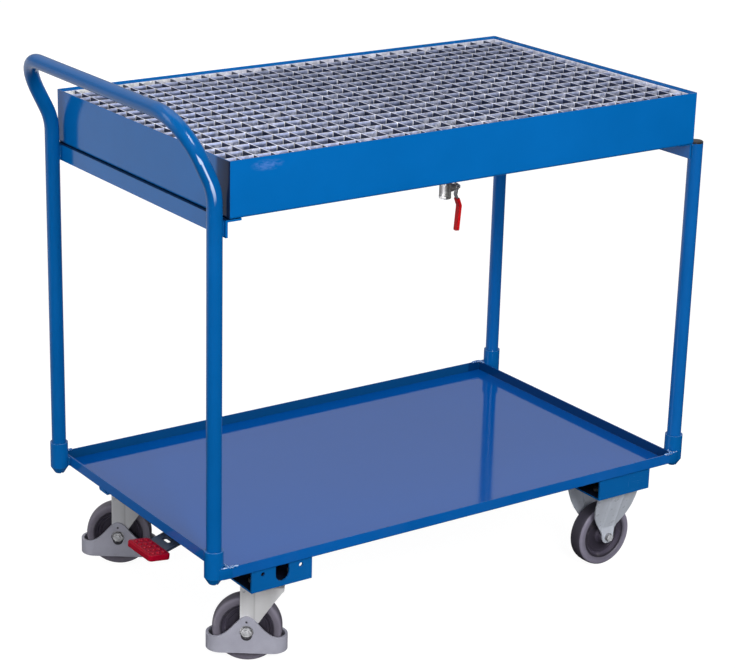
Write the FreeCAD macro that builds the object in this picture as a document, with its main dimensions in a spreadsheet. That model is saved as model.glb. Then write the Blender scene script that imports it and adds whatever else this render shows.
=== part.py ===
import FreeCAD, Part
import math
import os

import Sketcher

# Two-level tubular table trolley: a catch tray with a lift-out grating and a
# drain valve on top, a rimmed sheet tray below, a bent-tube push handle, two
# braked swivel castors at the handle end and two fixed castors.
# Millimetres, +Z up, wheels on z = 0. The handle end is towards -X ("left");
# "near" is the -Y side and "far" the +Y side.

Vector = FreeCAD.Vector
X_AXIS, Y_AXIS, Z_AXIS = Vector(1, 0, 0), Vector(0, 1, 0), Vector(0, 0, 1)
SQRT3 = math.sqrt(3)
SIDES = ((-1, "near"), (1, "far"))

# Driving dimensions. In the names: len, wid = overall size along X, Y; rad, dia = radius,
# diameter; top, low, head, foot = heights above the floor; flats = width across flats.
SIZES = {
    "x_shift": 28.3,  # from the frame each piece is drawn in to the trolley's frame
    # upper catch tray
    "tray_len": 1000.0, "tray_wid": 602.0, "tray_top": 937.8, "tray_deep": 97.0,
    "tray_wall": 2.0, "tray_corner": 3.0, "tray_foot_bend": 5.0,
    "drain_x": 15.6, "drain_y": -190.0, "drain_bore": 8.0,
    # grating and the ledges it lies on
    "mesh_pitch": 33.333, "grate_len": 990.0, "grate_wid": 592.0, "grate_drop": 5.0,
    "bearing_high": 30.0, "cross_high": 10.0, "bar_thick": 2.0, "frame_thick": 3.0,
    "ledge_leg": 20.0, "ledge_thick": 3.0,
    # legs and push handle
    "tube_dia": 26.9, "tube_wall": 2.0, "leg_x": 518.9, "leg_y": 286.4,
    "leg_foot": 216.2, "leg_head": 838.8,
    "bend_start": 866.0, "bend_rad": 100.0, "handle_tilt": 26.0,
    "limb_straight": 35.4, "corner_rad": 78.4,
    # leg sockets
    "socket_dia": 33.7, "socket_top": 260.0, "socket_cone": 210.5, "socket_low": 198.0,
    "socket_tip": 18.0, "socket_bore": 27.1, "socket_notch": 2.6,
    # cross angles
    "angle_leg": 30.0, "angle_thick": 4.0, "angle_gap": 0.05,
    # lower tray and the tab under it
    "deck_len": 1004.0, "deck_wid": 613.0, "deck_top": 230.0, "deck_low": 209.0,
    "deck_wall": 2.0, "deck_bend": 2.5, "deck_corner": 0.9,
    "tab_near": 128.0, "tab_far": 163.0, "tab_deep": 7.0, "tab_bend": 4.5,
    # castor brackets
    "bracket_left_x": -390.0, "bracket_right_x": 387.0, "bracket_long": 124.0,
    "bracket_in": 195.0, "bracket_out": 301.0, "bracket_low": 167.0, "bracket_thick": 4.0,
    "slot_wide": 28.0,
    # castors
    "castor_left_x": -389.0, "castor_right_x": 389.0, "castor_y": 236.0,
    "trail": 26.0, "swivel_turn": 144.86,
    "wheel_rad": 62.5, "tyre_wide": 32.0, "tyre_in": 47.0, "hub_long": 39.4, "hub_bore": 7.6,
    "sleeve_rad": 7.5, "axle_rad": 5.0, "fork_in": 20.0, "fork_plate": 3.0, "rib_high": 2.5,
    "plate_long": 105.0, "plate_wide": 82.0, "plate_thick": 4.0,
    "bolt_x": 40.0, "bolt_y": 30.0, "bolt_rad": 4.0, "bolt_hole": 4.5,
    "crown_low": 147.0, "crown_top": 156.8, "king_pin_rad": 10.0,
    "race_rad": 26.0, "race_high": 3.0, "ball_rad": 2.0, "groove_rad": 2.05,
    # foot guard
    "guard_half": 28.0, "guard_long": 146.0, "guard_low": 21.0, "guard_band": 49.0,
    "guard_peak": 42.5, "guard_bell": 32.0, "guard_wall": 4.9,
    # brake linkage
    "shaft_z": 190.5, "shaft_flats": 11.0, "shaft_end": 262.0,
    "pedal_x": -541.0, "pedal_y": -99.0, "pedal_long": 83.0, "pedal_wide": 43.5,
    "pedal_tilt": 7.0, "tread_skin": 3.0,
    "arm_drop": 9.5, "arm_side": 9.0, "arm_wide": 56.0, "arm_thick": 5.0,
    "arm_lift": 5.5, "ramp_long": 33.0,
    "plunger_rad": 5.0, "plunger_top": 179.4,
    "shoe_pin_x": 31.0, "shoe_pin_z": 139.0, "shoe_pin_rad": 3.0,
    # drain valve
    "valve_flats": 21.0, "valve_low": 779.0, "valve_top": 818.0, "stem_z": 797.0,
    "valve_ball": 8.0, "stem_rad": 3.0,
}


# ------------------------------------------------------- driving dimensions
class Quantity:
    """A number together with the spreadsheet expression that gives it."""

    def __init__(self, value, text):
        self.value = float(value)
        self.text = text

    @staticmethod
    def of(other):
        return other if isinstance(other, Quantity) else Quantity(other, repr(float(other)))

    def _join(self, sign, other, operate):
        other = Quantity.of(other)
        return Quantity(operate(self.value, other.value), f"({self.text} {sign} {other.text})")

    def __add__(self, other):
        return self._join("+", other, float.__add__)

    def __sub__(self, other):
        return self._join("-", other, float.__sub__)

    def __mul__(self, other):
        return self._join("*", other, float.__mul__)

    def __truediv__(self, other):
        return self._join("/", other, float.__truediv__)

    def __radd__(self, other):
        return Quantity.of(other) + self

    def __rsub__(self, other):
        return Quantity.of(other) - self

    def __rmul__(self, other):
        return Quantity.of(other) * self

    def __neg__(self):
        return 0 - self


class Sizes:
    """Holds one attribute for each alias of the spreadsheet."""


doc = FreeCAD.newDocument("table_trolley")
sheet = doc.addObject("Spreadsheet::Sheet", "Sheet")
dim = Sizes()  # quantities, for bound properties
num = Sizes()  # the same as plain numbers
for row, (alias, number) in enumerate(SIZES.items(), start=1):
    sheet.set(f"A{row}", alias)
    sheet.set(f"B{row}", str(number))
    sheet.setAlias(f"B{row}", alias)
    setattr(dim, alias, Quantity(number, "Sheet." + alias))
    setattr(num, alias, number)
doc.recompute()


# ------------------------------------------------------------ document tools
def add(kind):
    return doc.addObject(kind, "Step")


def bind(obj, prop, quantity):
    obj.setExpression(prop, Quantity.of(quantity).text)


def put(obj, x=0, y=0, z=0, axis=Z_AXIS, angle=0):
    obj.Placement = FreeCAD.Placement(Vector(), FreeCAD.Rotation(axis, angle))
    for letter, place in zip("xyz", (x, y, z)):
        bind(obj, "Placement.Base." + letter, place)
    return obj


pieces = []


def finish(obj, label, x=0, y=0, z=0, axis=Z_AXIS, angle=0):
    """Label a finished piece and place it in the trolley's frame."""
    put(obj, dim.x_shift + x, y, z, axis, angle)
    obj.Label = label
    pieces.append(obj)


def box(x0, x1, y0, y1, z0, z1):
    block = add("Part::Box")
    for prop, low, high in (("Length", x0, x1), ("Width", y0, y1), ("Height", z0, z1)):
        bind(block, prop, Quantity.of(high) - low)
    return put(block, x0, y0, z0)


# rotation that lays a primitive's own Z along the named direction
ALONG = {"x": (Y_AXIS, 90), "y": (X_AXIS, -90), "z": (Z_AXIS, 0)}


def column(kind, length, x, y, z, along, **sizes):
    """Primitive that starts at (x, y, z) and runs along the named axis."""
    obj = add(kind)
    bind(obj, "Height", length)
    for prop, size in sizes.items():
        bind(obj, prop, size)
    return put(obj, x, y, z, *ALONG[along])


def cylinder(radius, length, x=0, y=0, z=0, along="z"):
    return column("Part::Cylinder", length, x, y, z, along, Radius=radius)


def cone(radius1, radius2, length, x=0, y=0, z=0, along="z"):
    return column("Part::Cone", length, x, y, z, along, Radius1=radius1, Radius2=radius2)


def hexagon(flats, length, x=0, y=0, z=0, along="z"):
    radius = Quantity.of(flats) / SQRT3
    obj = column("Part::Prism", length, x, y, z, along, Circumradius=radius)
    obj.Polygon = 6
    return obj


def cross_rod(radius, half, x=0, z=0, y=0):
    """Cylinder along Y, reaching half its length to each side of y."""
    return cylinder(radius, half * 2, x, y - half, z, "y")


def sphere(radius, x=0, y=0, z=0):
    obj = add("Part::Sphere")
    bind(obj, "Radius", radius)
    return put(obj, x, y, z)


def cut(base, *tools):
    for tool in tools:
        step = add("Part::Cut")
        step.Base = base
        step.Tool = tool
        base = step
    return base


def fuse(*parts):
    step = add("Part::MultiFuse")
    step.Shapes = list(parts)
    step.Refine = True
    return step


def common(base, tool):
    step = add("Part::Common")
    step.Base = base
    step.Tool = tool
    return step


def group(*parts):
    step = add("Part::Compound")
    step.Links = list(parts)
    return step


def fillet(base, radius_of):
    """Round edges of base; radius_of maps an edge's bounds to its radius, 0 for none."""
    doc.recompute()
    step = add("Part::Fillet")
    step.Base = base
    radii = [radius_of(edge.BoundBox) for edge in base.Shape.Edges]
    step.Edges = [(i, radius, radius) for i, radius in enumerate(radii, start=1) if radius]
    return step


def soften(block, foot, foot_radius, upright_radius):
    """Round the bottom edges, at height foot, and the upright edges of a box."""
    foot = Quantity.of(foot).value

    def radius_of(bounds):
        if bounds.ZLength > 1.0:
            return upright_radius
        return foot_radius if abs(bounds.ZMin - foot) < 1e-6 else 0

    return fillet(block, radius_of)


def fixed_shape(solid):
    obj = add("Part::Feature")
    obj.Shape = solid
    return obj


def closed(points):
    return Part.makePolygon(points + points[:1])


def prism(outline, length, x=0, y=0, z=0, flat=False):
    """Extrude an (x, z) outline along +Y, or a flat (x, y) outline along +Z."""
    pairs = [(Quantity.of(a).value, Quantity.of(b).value) for a, b in outline]
    points = [Vector(a, b, 0) if flat else Vector(a, 0, b) for a, b in pairs]
    direction = Z_AXIS if flat else Y_AXIS
    solid = Part.Face(closed(points)).extrude(direction * Quantity.of(length).value)
    return put(fixed_shape(solid), x, y, z)


def span(near, far, side):
    """The range from near to far, mirrored through zero when side is -1."""
    return (near, far) if side > 0 else (-far, -near)


def angle_bar(across, side, outer, half, top, leg, thick):
    """Angle bar: upright leg at outer on the given side, flat leg inwards at the top.

    across is the axis outer is measured on; half is the (start, end) along the other.
    """
    parts = []
    for low, high, depth in ((outer - thick, outer, leg), (outer - leg, outer - thick, thick)):
        width = span(low, high, side)
        ranges = (*width, *half) if across == "x" else (*half, *width)
        parts.append(box(*ranges, top - depth, top))
    return fuse(*parts)


def lathe(label, half_outline):
    """PartDesign body of revolution about Y.

    half_outline lists (radius, y) on the +Y side, from the bore out to the rim; it is
    mirrored in y. Each sketch point is fixed by its distances from the origin.
    """
    upper = [(Quantity.of(radius), Quantity.of(y)) for radius, y in half_outline]
    points = upper + [(radius, -y) for radius, y in reversed(upper)]
    corners = [Vector(radius.value, y.value, 0) for radius, y in points]
    count = len(points)

    body = doc.addObject("PartDesign::Body", "Body_" + label)
    sketch = body.newObject("Sketcher::SketchObject", "Outline_" + label)
    plane = [f for f in body.Origin.OriginFeatures if f.Role == "XY_Plane"][0]
    sketch.AttachmentSupport = [(plane, "")]
    sketch.MapMode = "FlatFace"
    for i in range(count):
        sketch.addGeometry(Part.LineSegment(corners[i], corners[(i + 1) % count]), False)
    for i in range(count):
        sketch.addConstraint(Sketcher.Constraint("Coincident", i, 2, (i + 1) % count, 1))
    for i, point in enumerate(points):
        for kind, place in zip(("DistanceX", "DistanceY"), point):
            index = sketch.addConstraint(Sketcher.Constraint(kind, -1, 1, i, 1, place.value))
            if "Sheet" in place.text:
                sketch.setExpression(f"Constraints[{index}]", place.text)
    doc.recompute()

    turning = body.newObject("PartDesign::Revolution", "Turn_" + label)
    turning.Profile = sketch
    turning.ReferenceAxis = (sketch, ["V_Axis"])
    turning.Angle = 360.0
    turning.Midplane = False
    doc.recompute()
    body.Tip = turning
    return body


# ---------------------------------------------------------------- catch tray
tray_low = dim.tray_top - dim.tray_deep
tray_half_len, tray_half_wid = dim.tray_len / 2, dim.tray_wid / 2
inner_half_len = tray_half_len - dim.tray_wall
inner_half_wid = tray_half_wid - dim.tray_wall
grate_top = dim.tray_top - dim.grate_drop
grate_low = grate_top - dim.bearing_high


def catch_tray():
    floor = tray_low + dim.tray_wall
    outside = box(-tray_half_len, tray_half_len, -tray_half_wid, tray_half_wid,
                  tray_low, dim.tray_top)
    inside = box(-inner_half_len, inner_half_len, -inner_half_wid, inner_half_wid,
                 floor, dim.tray_top + 1)
    outer = soften(outside, tray_low, num.tray_foot_bend, num.tray_corner)
    inner = soften(inside, floor, num.tray_foot_bend - num.tray_wall,
                   num.tray_corner - num.tray_wall)
    drain = cylinder(dim.drain_bore + 2, 8, dim.drain_x, dim.drain_y, tray_low - 3)
    return cut(outer, inner, drain)


def grating_ledges():
    """Angle bars along the four inner walls."""
    half_x = inner_half_len - dim.ledge_leg - 2
    half_y = inner_half_wid - 3
    section = (grate_low, dim.ledge_leg, dim.ledge_thick)
    bars = [angle_bar("y", side, inner_half_wid, (-half_x, half_x), *section) for side in (1, -1)]
    bars += [angle_bar("x", side, inner_half_len, (-half_y, half_y), *section) for side in (1, -1)]
    return group(*bars)


finish(catch_tray(), "catch_tray")
finish(grating_ledges(), "grating_ledges")

# ------------------------------------------------------------------- grating
BEARING_REACH = 14  # bearing bars, which run along Y, on each side of the middle one
CROSS_REACH = 8  # cross bars, which run along X, on each side of the middle one
frame_half_len, frame_half_wid = dim.grate_len / 2, dim.grate_wid / 2
bar_half_len = frame_half_len - dim.frame_thick
bar_half_wid = frame_half_wid - dim.frame_thick
notch_low = grate_top.value - num.cross_high


def grating_frame():
    return cut(box(-frame_half_len, frame_half_len, -frame_half_wid, frame_half_wid,
                   grate_low, grate_top),
               box(-bar_half_len, bar_half_len, -bar_half_wid, bar_half_wid,
                   grate_low - 1, grate_top + 1))


def bearing_bars():
    """Upright bars notched from above for the cross bars."""
    half, end = num.bar_thick / 2, bar_half_wid.value
    top, low = grate_top.value, grate_low.value
    outline = [(-end, low), (end, low), (end, top)]
    for row in range(CROSS_REACH, -CROSS_REACH - 1, -1):
        y = row * num.mesh_pitch
        outline += [(y + half, top), (y + half, notch_low), (y - half, notch_low), (y - half, top)]
    outline.append((-end, top))
    face = Part.Face(closed([Vector(-half, y, z) for y, z in outline]))
    bar = face.extrude(Vector(2 * half, 0, 0))
    bars = []
    for column_index in range(-BEARING_REACH, BEARING_REACH + 1):
        copy = bar.copy()
        copy.translate(Vector(column_index * num.mesh_pitch, 0, 0))
        bars.append(copy)
    return fixed_shape(Part.makeCompound(bars))


def cross_bars():
    end, thick = bar_half_len.value, num.bar_thick
    rows = range(-CROSS_REACH, CROSS_REACH + 1)
    return fixed_shape(Part.makeCompound([
        Part.makeBox(2 * end, thick, grate_top.value - notch_low,
                     Vector(-end, row * num.mesh_pitch - thick / 2, notch_low))
        for row in rows]))


finish(grating_frame(), "grating_frame")
finish(bearing_bars(), "bearing_bars")
finish(cross_bars(), "cross_bars")

# ------------------------------------------------------------- tubes, handle
tube_rad = dim.tube_dia / 2
tube_bore = tube_rad - dim.tube_wall


def handle_path():
    """Centre line up the far left leg, across the grip and down the near left leg."""
    tilt = math.radians(num.handle_tilt)
    along = Vector(-math.sin(tilt), 0, math.cos(tilt))
    slant = math.cos(math.radians(45))

    def on_bend(angle):
        return bend + Vector(math.cos(angle) - 1, 0, math.sin(angle)) * num.bend_rad

    foot = Vector(-num.leg_x, num.leg_y, num.leg_foot)
    bend = Vector(-num.leg_x, num.leg_y, num.bend_start)
    corner = on_bend(tilt) + along * num.limb_straight
    corner_mid = corner + (along * slant + Vector(0, slant - 1, 0)) * num.corner_rad
    corner_end = corner + (along + Vector(0, -1, 0)) * num.corner_rad
    far = [foot, bend, on_bend(tilt / 2), on_bend(tilt), corner, corner_mid, corner_end]
    points = far + [Vector(p.x, -p.y, p.z) for p in reversed(far)]

    edges = []
    for i in (0, 3, 6, 9):  # a straight, then an arc
        edges.append(Part.makeLine(points[i], points[i + 1]))
        edges.append(Part.Arc(*points[i + 1:i + 4]).toShape())
    edges.append(Part.makeLine(points[12], points[13]))
    return Part.Wire(edges), foot


def handle_frame():
    path, start = handle_path()

    def sweep(radius):
        profile = Part.Wire([Part.makeCircle(radius.value, start, Z_AXIS)])
        return path.makePipeShell([profile], True, True)

    return fixed_shape(sweep(tube_rad).cut(sweep(tube_bore)))


def right_leg(side):
    long = dim.leg_head - dim.leg_foot
    y = dim.leg_y * side
    return cut(cylinder(tube_rad, long, dim.leg_x, y, dim.leg_foot),
               cylinder(tube_bore, long + 2, dim.leg_x, y, dim.leg_foot - 1))


def end_cap(side):
    place = (dim.leg_x, dim.leg_y * side)
    rim, rim_high, plug_long = tube_rad - 0.2, 3, 14
    return fuse(cylinder(rim, rim_high, *place, dim.leg_head),
                cone(rim, tube_rad - 2.4, 1.4, *place, dim.leg_head + rim_high),
                cylinder(tube_bore - 0.05, plug_long, *place, dim.leg_head - plug_long))


def socket(side_x, side_y):
    """Sleeve round a leg's foot, tapered below, its tip notched both ways."""
    x, y, low = dim.leg_x * side_x, dim.leg_y * side_y, dim.socket_low
    outer, half, reach = dim.socket_dia / 2, dim.socket_notch / 2, 20
    body = cylinder(outer, dim.socket_top - dim.socket_cone, x, y, dim.socket_cone)
    tip = cone(dim.socket_tip / 2, outer, dim.socket_cone - low, x, y, low)
    bore = cylinder(dim.socket_bore / 2, dim.socket_top - dim.leg_foot + 1.1,
                    x, y, dim.leg_foot - 0.1)
    notches = [box(x - wide, x + wide, y - deep, y + deep, low - 1, low + 3.6)
               for wide, deep in ((half, reach), (reach, half))]
    return cut(fuse(body, tip), bore, *notches)


finish(handle_frame(), "handle_frame")
for side, tag in SIDES:
    finish(right_leg(side), "right_leg_" + tag)
finish(group(end_cap(-1), end_cap(1)), "leg_end_caps")
finish(group(*[socket(i, j) for i in (-1, 1) for j in (-1, 1)]), "leg_sockets")

# cross angles between each pair of legs, under the catch tray
for side, label, half in ((-1, "left_cross_angle", 299.0), (1, "right_cross_angle", 290.0)):
    finish(angle_bar("x", side, dim.leg_x - tube_rad - dim.angle_gap, (-half, half),
                     tray_low, dim.angle_leg, dim.angle_thick), label)

# ---------------------------------------------------------------- lower tray
deck_half_len, deck_half_wid = dim.deck_len / 2, dim.deck_wid / 2


def lower_deck():
    inner_len, inner_wid = deck_half_len - dim.deck_wall, deck_half_wid - dim.deck_wall
    block = box(-deck_half_len, deck_half_len, -deck_half_wid, deck_half_wid,
                dim.deck_low, dim.deck_top)
    return cut(soften(block, dim.deck_low, num.deck_bend, num.deck_corner),
               box(-inner_len, inner_len, -inner_wid, inner_wid,
                   dim.deck_low + dim.deck_wall, dim.deck_top + 1))


def deck_edge_tab():
    """Shallow tab under the handle-side edge, rounded below and hollowed from the left."""
    low = dim.deck_low - dim.tab_deep
    block = box(2.5 - deck_half_len, 26.0 - deck_half_len, dim.tab_near, dim.tab_far,
                low, dim.deck_low)

    def radius_of(bounds):
        at_foot = abs(bounds.ZMax - low.value) < 1e-6
        return num.tab_bend if at_foot and bounds.XLength > 1.0 else 0

    hollow = box(1.0 - deck_half_len, 24.0 - deck_half_len,
                 dim.tab_near + 3.0, dim.tab_near + 14.0, low + 2.0, dim.deck_low - 1.5)
    return cut(fillet(block, radius_of), hollow)


finish(lower_deck(), "lower_deck")
finish(deck_edge_tab(), "deck_edge_tab")

# ----------------------------------------------------------- castor brackets
plate_top = dim.bracket_low
plate_low = plate_top - dim.plate_thick
bracket_floor = dim.bracket_low + dim.bracket_thick


def bolt_places(x=0, y=0):
    return [(x + dim.bolt_x * i, y + dim.bolt_y * j) for i in (-1, 1) for j in (-1, 1)]


def bolt_holes(z, x=0, y=0):
    """Four castor bolt holes through a sheet whose underside is at z."""
    return [cylinder(dim.bolt_hole, 10, *place, z - 3) for place in bolt_places(x, y)]


def bracket(centre_x, castor_x, side, braked):
    """Channel open upwards; a braked one also lets the brake shaft and plunger through."""
    thick, low, top = dim.bracket_thick, dim.bracket_low, dim.deck_low
    half = dim.bracket_long / 2
    x0, x1 = centre_x - half, centre_x + half
    y0, y1 = span(dim.bracket_in, dim.bracket_out, side)
    castor_y = dim.castor_y * side
    body = fuse(box(x0, x1, y0, y1, low, bracket_floor),
                box(x0, x1, y0, y0 + thick, low, top),
                box(x0, x1, y1 - thick, y1, low, top))
    tools = bolt_holes(low, castor_x, castor_y)
    if braked:
        slot_rad, through = dim.slot_wide / 2, y1 - y0 + 2
        tools += [cylinder(dim.plunger_rad + 1, 10, castor_x, castor_y, low - 3),
                  cylinder(slot_rad, through, castor_x, y0 - 1, dim.shaft_z, "y"),
                  box(castor_x - slot_rad, castor_x + slot_rad, y0 - 1, y1 + 1,
                      dim.shaft_z, top + 1)]
        tools += [cylinder(4.0, through, centre_x + dx, y0 - 1, 198.0, "y")
                  for dx in (-39.0, 39.0)]
    return cut(body, *tools)


def plate_bolt(x, y):
    """Bolt, head up and nut below, holding a castor plate under its bracket."""
    flats, end = 13.0, 7.5
    return fuse(cylinder(dim.bolt_rad, bracket_floor - plate_low + end, x, y, plate_low - end),
                hexagon(flats, 5.3, x, y, bracket_floor),
                hexagon(flats, 6.4, x, y, plate_low - 6.4))


for end, centre_x, castor_x in (("left", dim.bracket_left_x, dim.castor_left_x),
                                ("right", dim.bracket_right_x, dim.castor_right_x)):
    for side, tag in SIDES:
        finish(bracket(centre_x, castor_x, side, end == "left"), f"bracket_{end}_{tag}")

finish(group(*[plate_bolt(*place)
               for castor_x in (dim.castor_left_x, dim.castor_right_x)
               for side in (-1, 1)
               for place in bolt_places(castor_x, dim.castor_y * side)]),
       "castor_plate_bolts")

# -------------------------------------------------------- parts of all castors
axle_z = dim.wheel_rad
fork_out = dim.fork_in + dim.fork_plate


def plate_outline(profile, side, z, gain=1.0):
    """Wire round one fork plate at height z; profile lists (x, outward bulge)."""
    def row(offset, stations):
        return [Vector(x, side * (offset + bulge * gain), z) for x, bulge in stations]

    return closed(row(num.fork_in, profile) + row(fork_out.value, profile[::-1]))


def axle_bolt(x, half, flats, flange):
    """Axle with a washer, head and nut, the shank cut flush with the near head."""
    washer, head, nut = 1.6, 5.4, 6.0
    body = fuse(cross_rod(dim.axle_rad, half + 9.5, x, axle_z),
                cylinder(flange, washer, x, -half - washer, axle_z, "y"),
                hexagon(flats, head, x, -half - washer - head, axle_z, "y"),
                cylinder(flange, washer, x, half, axle_z, "y"),
                hexagon(flats, nut, x, half + washer, axle_z, "y"))
    return cut(body, box(x - 15, x + 15, -half - 12, -half - washer - head,
                         axle_z - 15, axle_z + 15))


def axle_sleeve(x, half):
    return cut(cross_rod(dim.sleeve_rad, half, x, axle_z),
               cross_rod(dim.axle_rad + 0.05, half + 1, x, axle_z))


def tyre(label):
    half, inner, outer = dim.tyre_wide / 2, dim.tyre_in, dim.wheel_rad
    return lathe(label, [
        (inner, half - 2), (inner + 2, half), (outer - 6.5, half), (outer - 3.2, half - 1.0),
        (outer - 1.2, half - 3.0), (outer - 0.3, half - 7), (outer, half - 12)])


def hub(label):
    half, rim = dim.hub_long / 2, dim.tyre_in
    return lathe(label, [
        (dim.hub_bore, half), (12.6, half), (13.6, half - 1.2), (14.4, 11), (16.5, 8.2),
        (20, 7.4), (33.5, 6.4), (34.3, 7.4), (36, 7.4), (36.8, 6.3), (39.5, 6.6),
        (42.3, 12.6), (rim - 1.4, 13.9), (rim - 0.02, 13.9)])


def finish_wheel(tag, x, y, trail, turn):
    """Tyre and hub, trailing a castor at (x, y) that is turned by turn degrees."""
    angle = math.radians(turn)
    place = (x + trail * math.cos(angle), y + trail * math.sin(angle), axle_z, Z_AXIS, turn)
    finish(tyre("tyre_" + tag), "tyre_" + tag, *place)
    finish(hub("hub_" + tag), "hub_" + tag, *place)


# ------------------------------------------------------------ swivel castors
# Local frame: swivel axis at the origin, trail towards local +X.

# (x, outward bulge at the crown) along a swivel fork plate
SWIVEL_BULGE = [(-41.0, 6.6), (-26.0, 5.9), (-10.0, 4.0), (3.0, 2.0), (13.5, 0.0), (38.0, 0.0)]
race_low = plate_low - dim.race_high


def ball_groove(z):
    groove = add("Part::Torus")
    bind(groove, "Radius1", dim.race_rad)
    bind(groove, "Radius2", dim.groove_rad)
    return put(groove, z=z)


def swivel_plate():
    """Top plate with the hollow king pin and the upper ball race."""
    half_long, half_wide = dim.plate_long / 2, dim.plate_wide / 2
    pin_low, flange = dim.crown_low - 0.3, 3.0
    race = cut(cylinder(31.0, dim.race_high, z=race_low), cylinder(21.0, 8.0, z=plate_low - 5.0))
    body = fuse(box(-half_long, half_long, -half_wide, half_wide, plate_low, plate_top),
                cylinder(dim.king_pin_rad, plate_low - pin_low, z=pin_low),
                cylinder(14.0, flange, z=pin_low - flange),
                race)
    plunger_bore = cylinder(dim.plunger_rad + 0.1, 60, z=dim.crown_low - 10)
    return cut(body, *bolt_holes(plate_low), plunger_bore, ball_groove(race_low))


def swivel_fork():
    """Two plates flared towards the crown, trimmed to their side view, and the crown."""
    low, flare_low, top = 50.0, 93.0, num.crown_low + num.fork_plate
    legs = []
    for side in (1, -1):
        flat = Part.Face(plate_outline(SWIVEL_BULGE, side, low, 0.0))
        legs.append(fixed_shape(flat.extrude(Vector(0, 0, flare_low - low))))
        ends = [plate_outline(SWIVEL_BULGE, side, flare_low, 0.0),
                plate_outline(SWIVEL_BULGE, side, top)]
        legs.append(fixed_shape(Part.makeLoft(ends, True, True)))

    side_view = [  # (x, z)
        (dim.trail - 12, axle_z), (dim.trail - 15, 70), (dim.trail - 20, 77), (-1, 87.5),
        (-10, 101), (-21, 118), (-30, 131), (-36, 139.5), (-40, 144.5),
        (-40, top + 1), (38, top + 1), (38, axle_z)]
    legs = common(fuse(*legs), prism(side_view, 120, y=-60))
    tips = [cylinder(12.5, dim.fork_plate, dim.trail, y, axle_z, "y")
            for y in (dim.fork_in, -fork_out)]

    outer = fork_out.value
    rim = [(-40.0, outer + 6.55)] + [(x, outer + bulge) for x, bulge in SWIVEL_BULGE[1:]]
    rim += [(x, -y) for x, y in reversed(rim)]
    crown = prism(rim, dim.fork_plate, z=dim.crown_low, flat=True)
    disc = cylinder(36.0, dim.crown_top - dim.crown_low, z=dim.crown_low)
    return cut(fuse(legs, *tips, crown, disc),
               cylinder(dim.king_pin_rad + 0.08, 30, z=dim.crown_low - 5),
               ball_groove(dim.crown_top),
               cross_rod(dim.axle_rad + 0.05, fork_out + 1, dim.trail, axle_z),
               cross_rod(dim.shoe_pin_rad + 0.02, fork_out + 1, dim.shoe_pin_x, dim.shoe_pin_z))


def foot_guard():
    """Round-ended band about the wheel, its top edge a bell curve over the axle."""
    half, long, wall = num.guard_half, num.guard_long, num.guard_wall
    low, band, peak = num.guard_low, num.guard_band, num.guard_peak
    centre_x = num.trail + 1.0
    start_y, width = -half - 2, 2 * half + 4

    def stadium(radius, length, z0, z1):
        reach, high = length / 2 - radius, z1 - z0
        middle = Part.makeBox(2 * reach, 2 * radius, high, Vector(centre_x - reach, -radius, z0))
        ends = [Part.makeCylinder(radius, high, Vector(centre_x + dx, 0, z0))
                for dx in (-reach, reach)]
        return middle.fuse(ends).removeSplitter()

    def side_hole(radius, z):
        return Part.makeCylinder(radius, width, Vector(num.trail, start_y, z), Y_AXIS)

    outer = stadium(half, long, low, band + peak + 1)
    ring = outer.cut(stadium(half - wall, long - 2 * wall, low - 1, band + peak + 2))
    steps, reach = 24, 90.0
    crest = []
    for i in range(steps + 1):
        x = -reach + 2 * reach * i / steps
        bell = math.exp(-(x / num.guard_bell) ** 2)
        crest.append(Vector(num.trail + x, start_y, band + peak * bell))
    curve = Part.BSplineCurve()
    curve.interpolate(crest)
    left = Vector(crest[0].x, start_y, low - 1)
    right = Vector(crest[-1].x, start_y, low - 1)
    wire = Part.Wire([Part.makeLine(right, left), Part.makeLine(left, crest[0]),
                      curve.toShape(), Part.makeLine(crest[-1], right)])
    guard = ring.common(Part.Face(wire).extrude(Vector(0, width, 0)))
    guard = guard.cut(side_hole(12.2, num.wheel_rad))
    return fixed_shape(guard.cut(side_hole(1.6, num.wheel_rad + 19)))


def castor_pins():
    """Axle bolt and the brake shoe's pivot pin."""
    return group(axle_bolt(dim.trail, fork_out, flats=17.0, flange=9.0),
                 cross_rod(dim.shoe_pin_rad, fork_out - 0.2, dim.shoe_pin_x, dim.shoe_pin_z))


def brake_shoe():
    """Block over the tyre, its lower face an arc 3 clear of the tread."""
    radius = num.wheel_rad + 3.0
    outline = []
    for i in range(9):
        x = -8.0 + 22.0 * i / 8
        z = num.wheel_rad + math.sqrt(radius ** 2 - (x - num.trail) ** 2)
        outline.append((x, z))
    outline += [(30, 133), (36.3, 135), (36.3, 143.6), (27, 144), (7, 129.3), (-8, 129.3)]
    return cut(prism(outline, 22, y=-11),
               cross_rod(dim.shoe_pin_rad + 0.05, 15, dim.shoe_pin_x, dim.shoe_pin_z))


def brake_plunger():
    head_low, stem_low = dim.plunger_top - 2.5, 134.0
    return fuse(cylinder(11.0, 2.5, z=head_low),
                cylinder(dim.plunger_rad, head_low - stem_low, z=stem_low),
                cylinder(3.0, 4.4, z=129.6))


def swivel_balls():
    """Rings of balls between each swivel plate and its fork crown."""
    balls = []
    for side in (-1, 1):
        for i in range(20):
            angle = math.radians(18.0 * i)
            balls.append(sphere(dim.ball_rad,
                                dim.castor_left_x + dim.race_rad * math.cos(angle),
                                dim.castor_y * side + dim.race_rad * math.sin(angle),
                                (race_low + dim.crown_top) / 2))
    return group(*balls)


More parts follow.
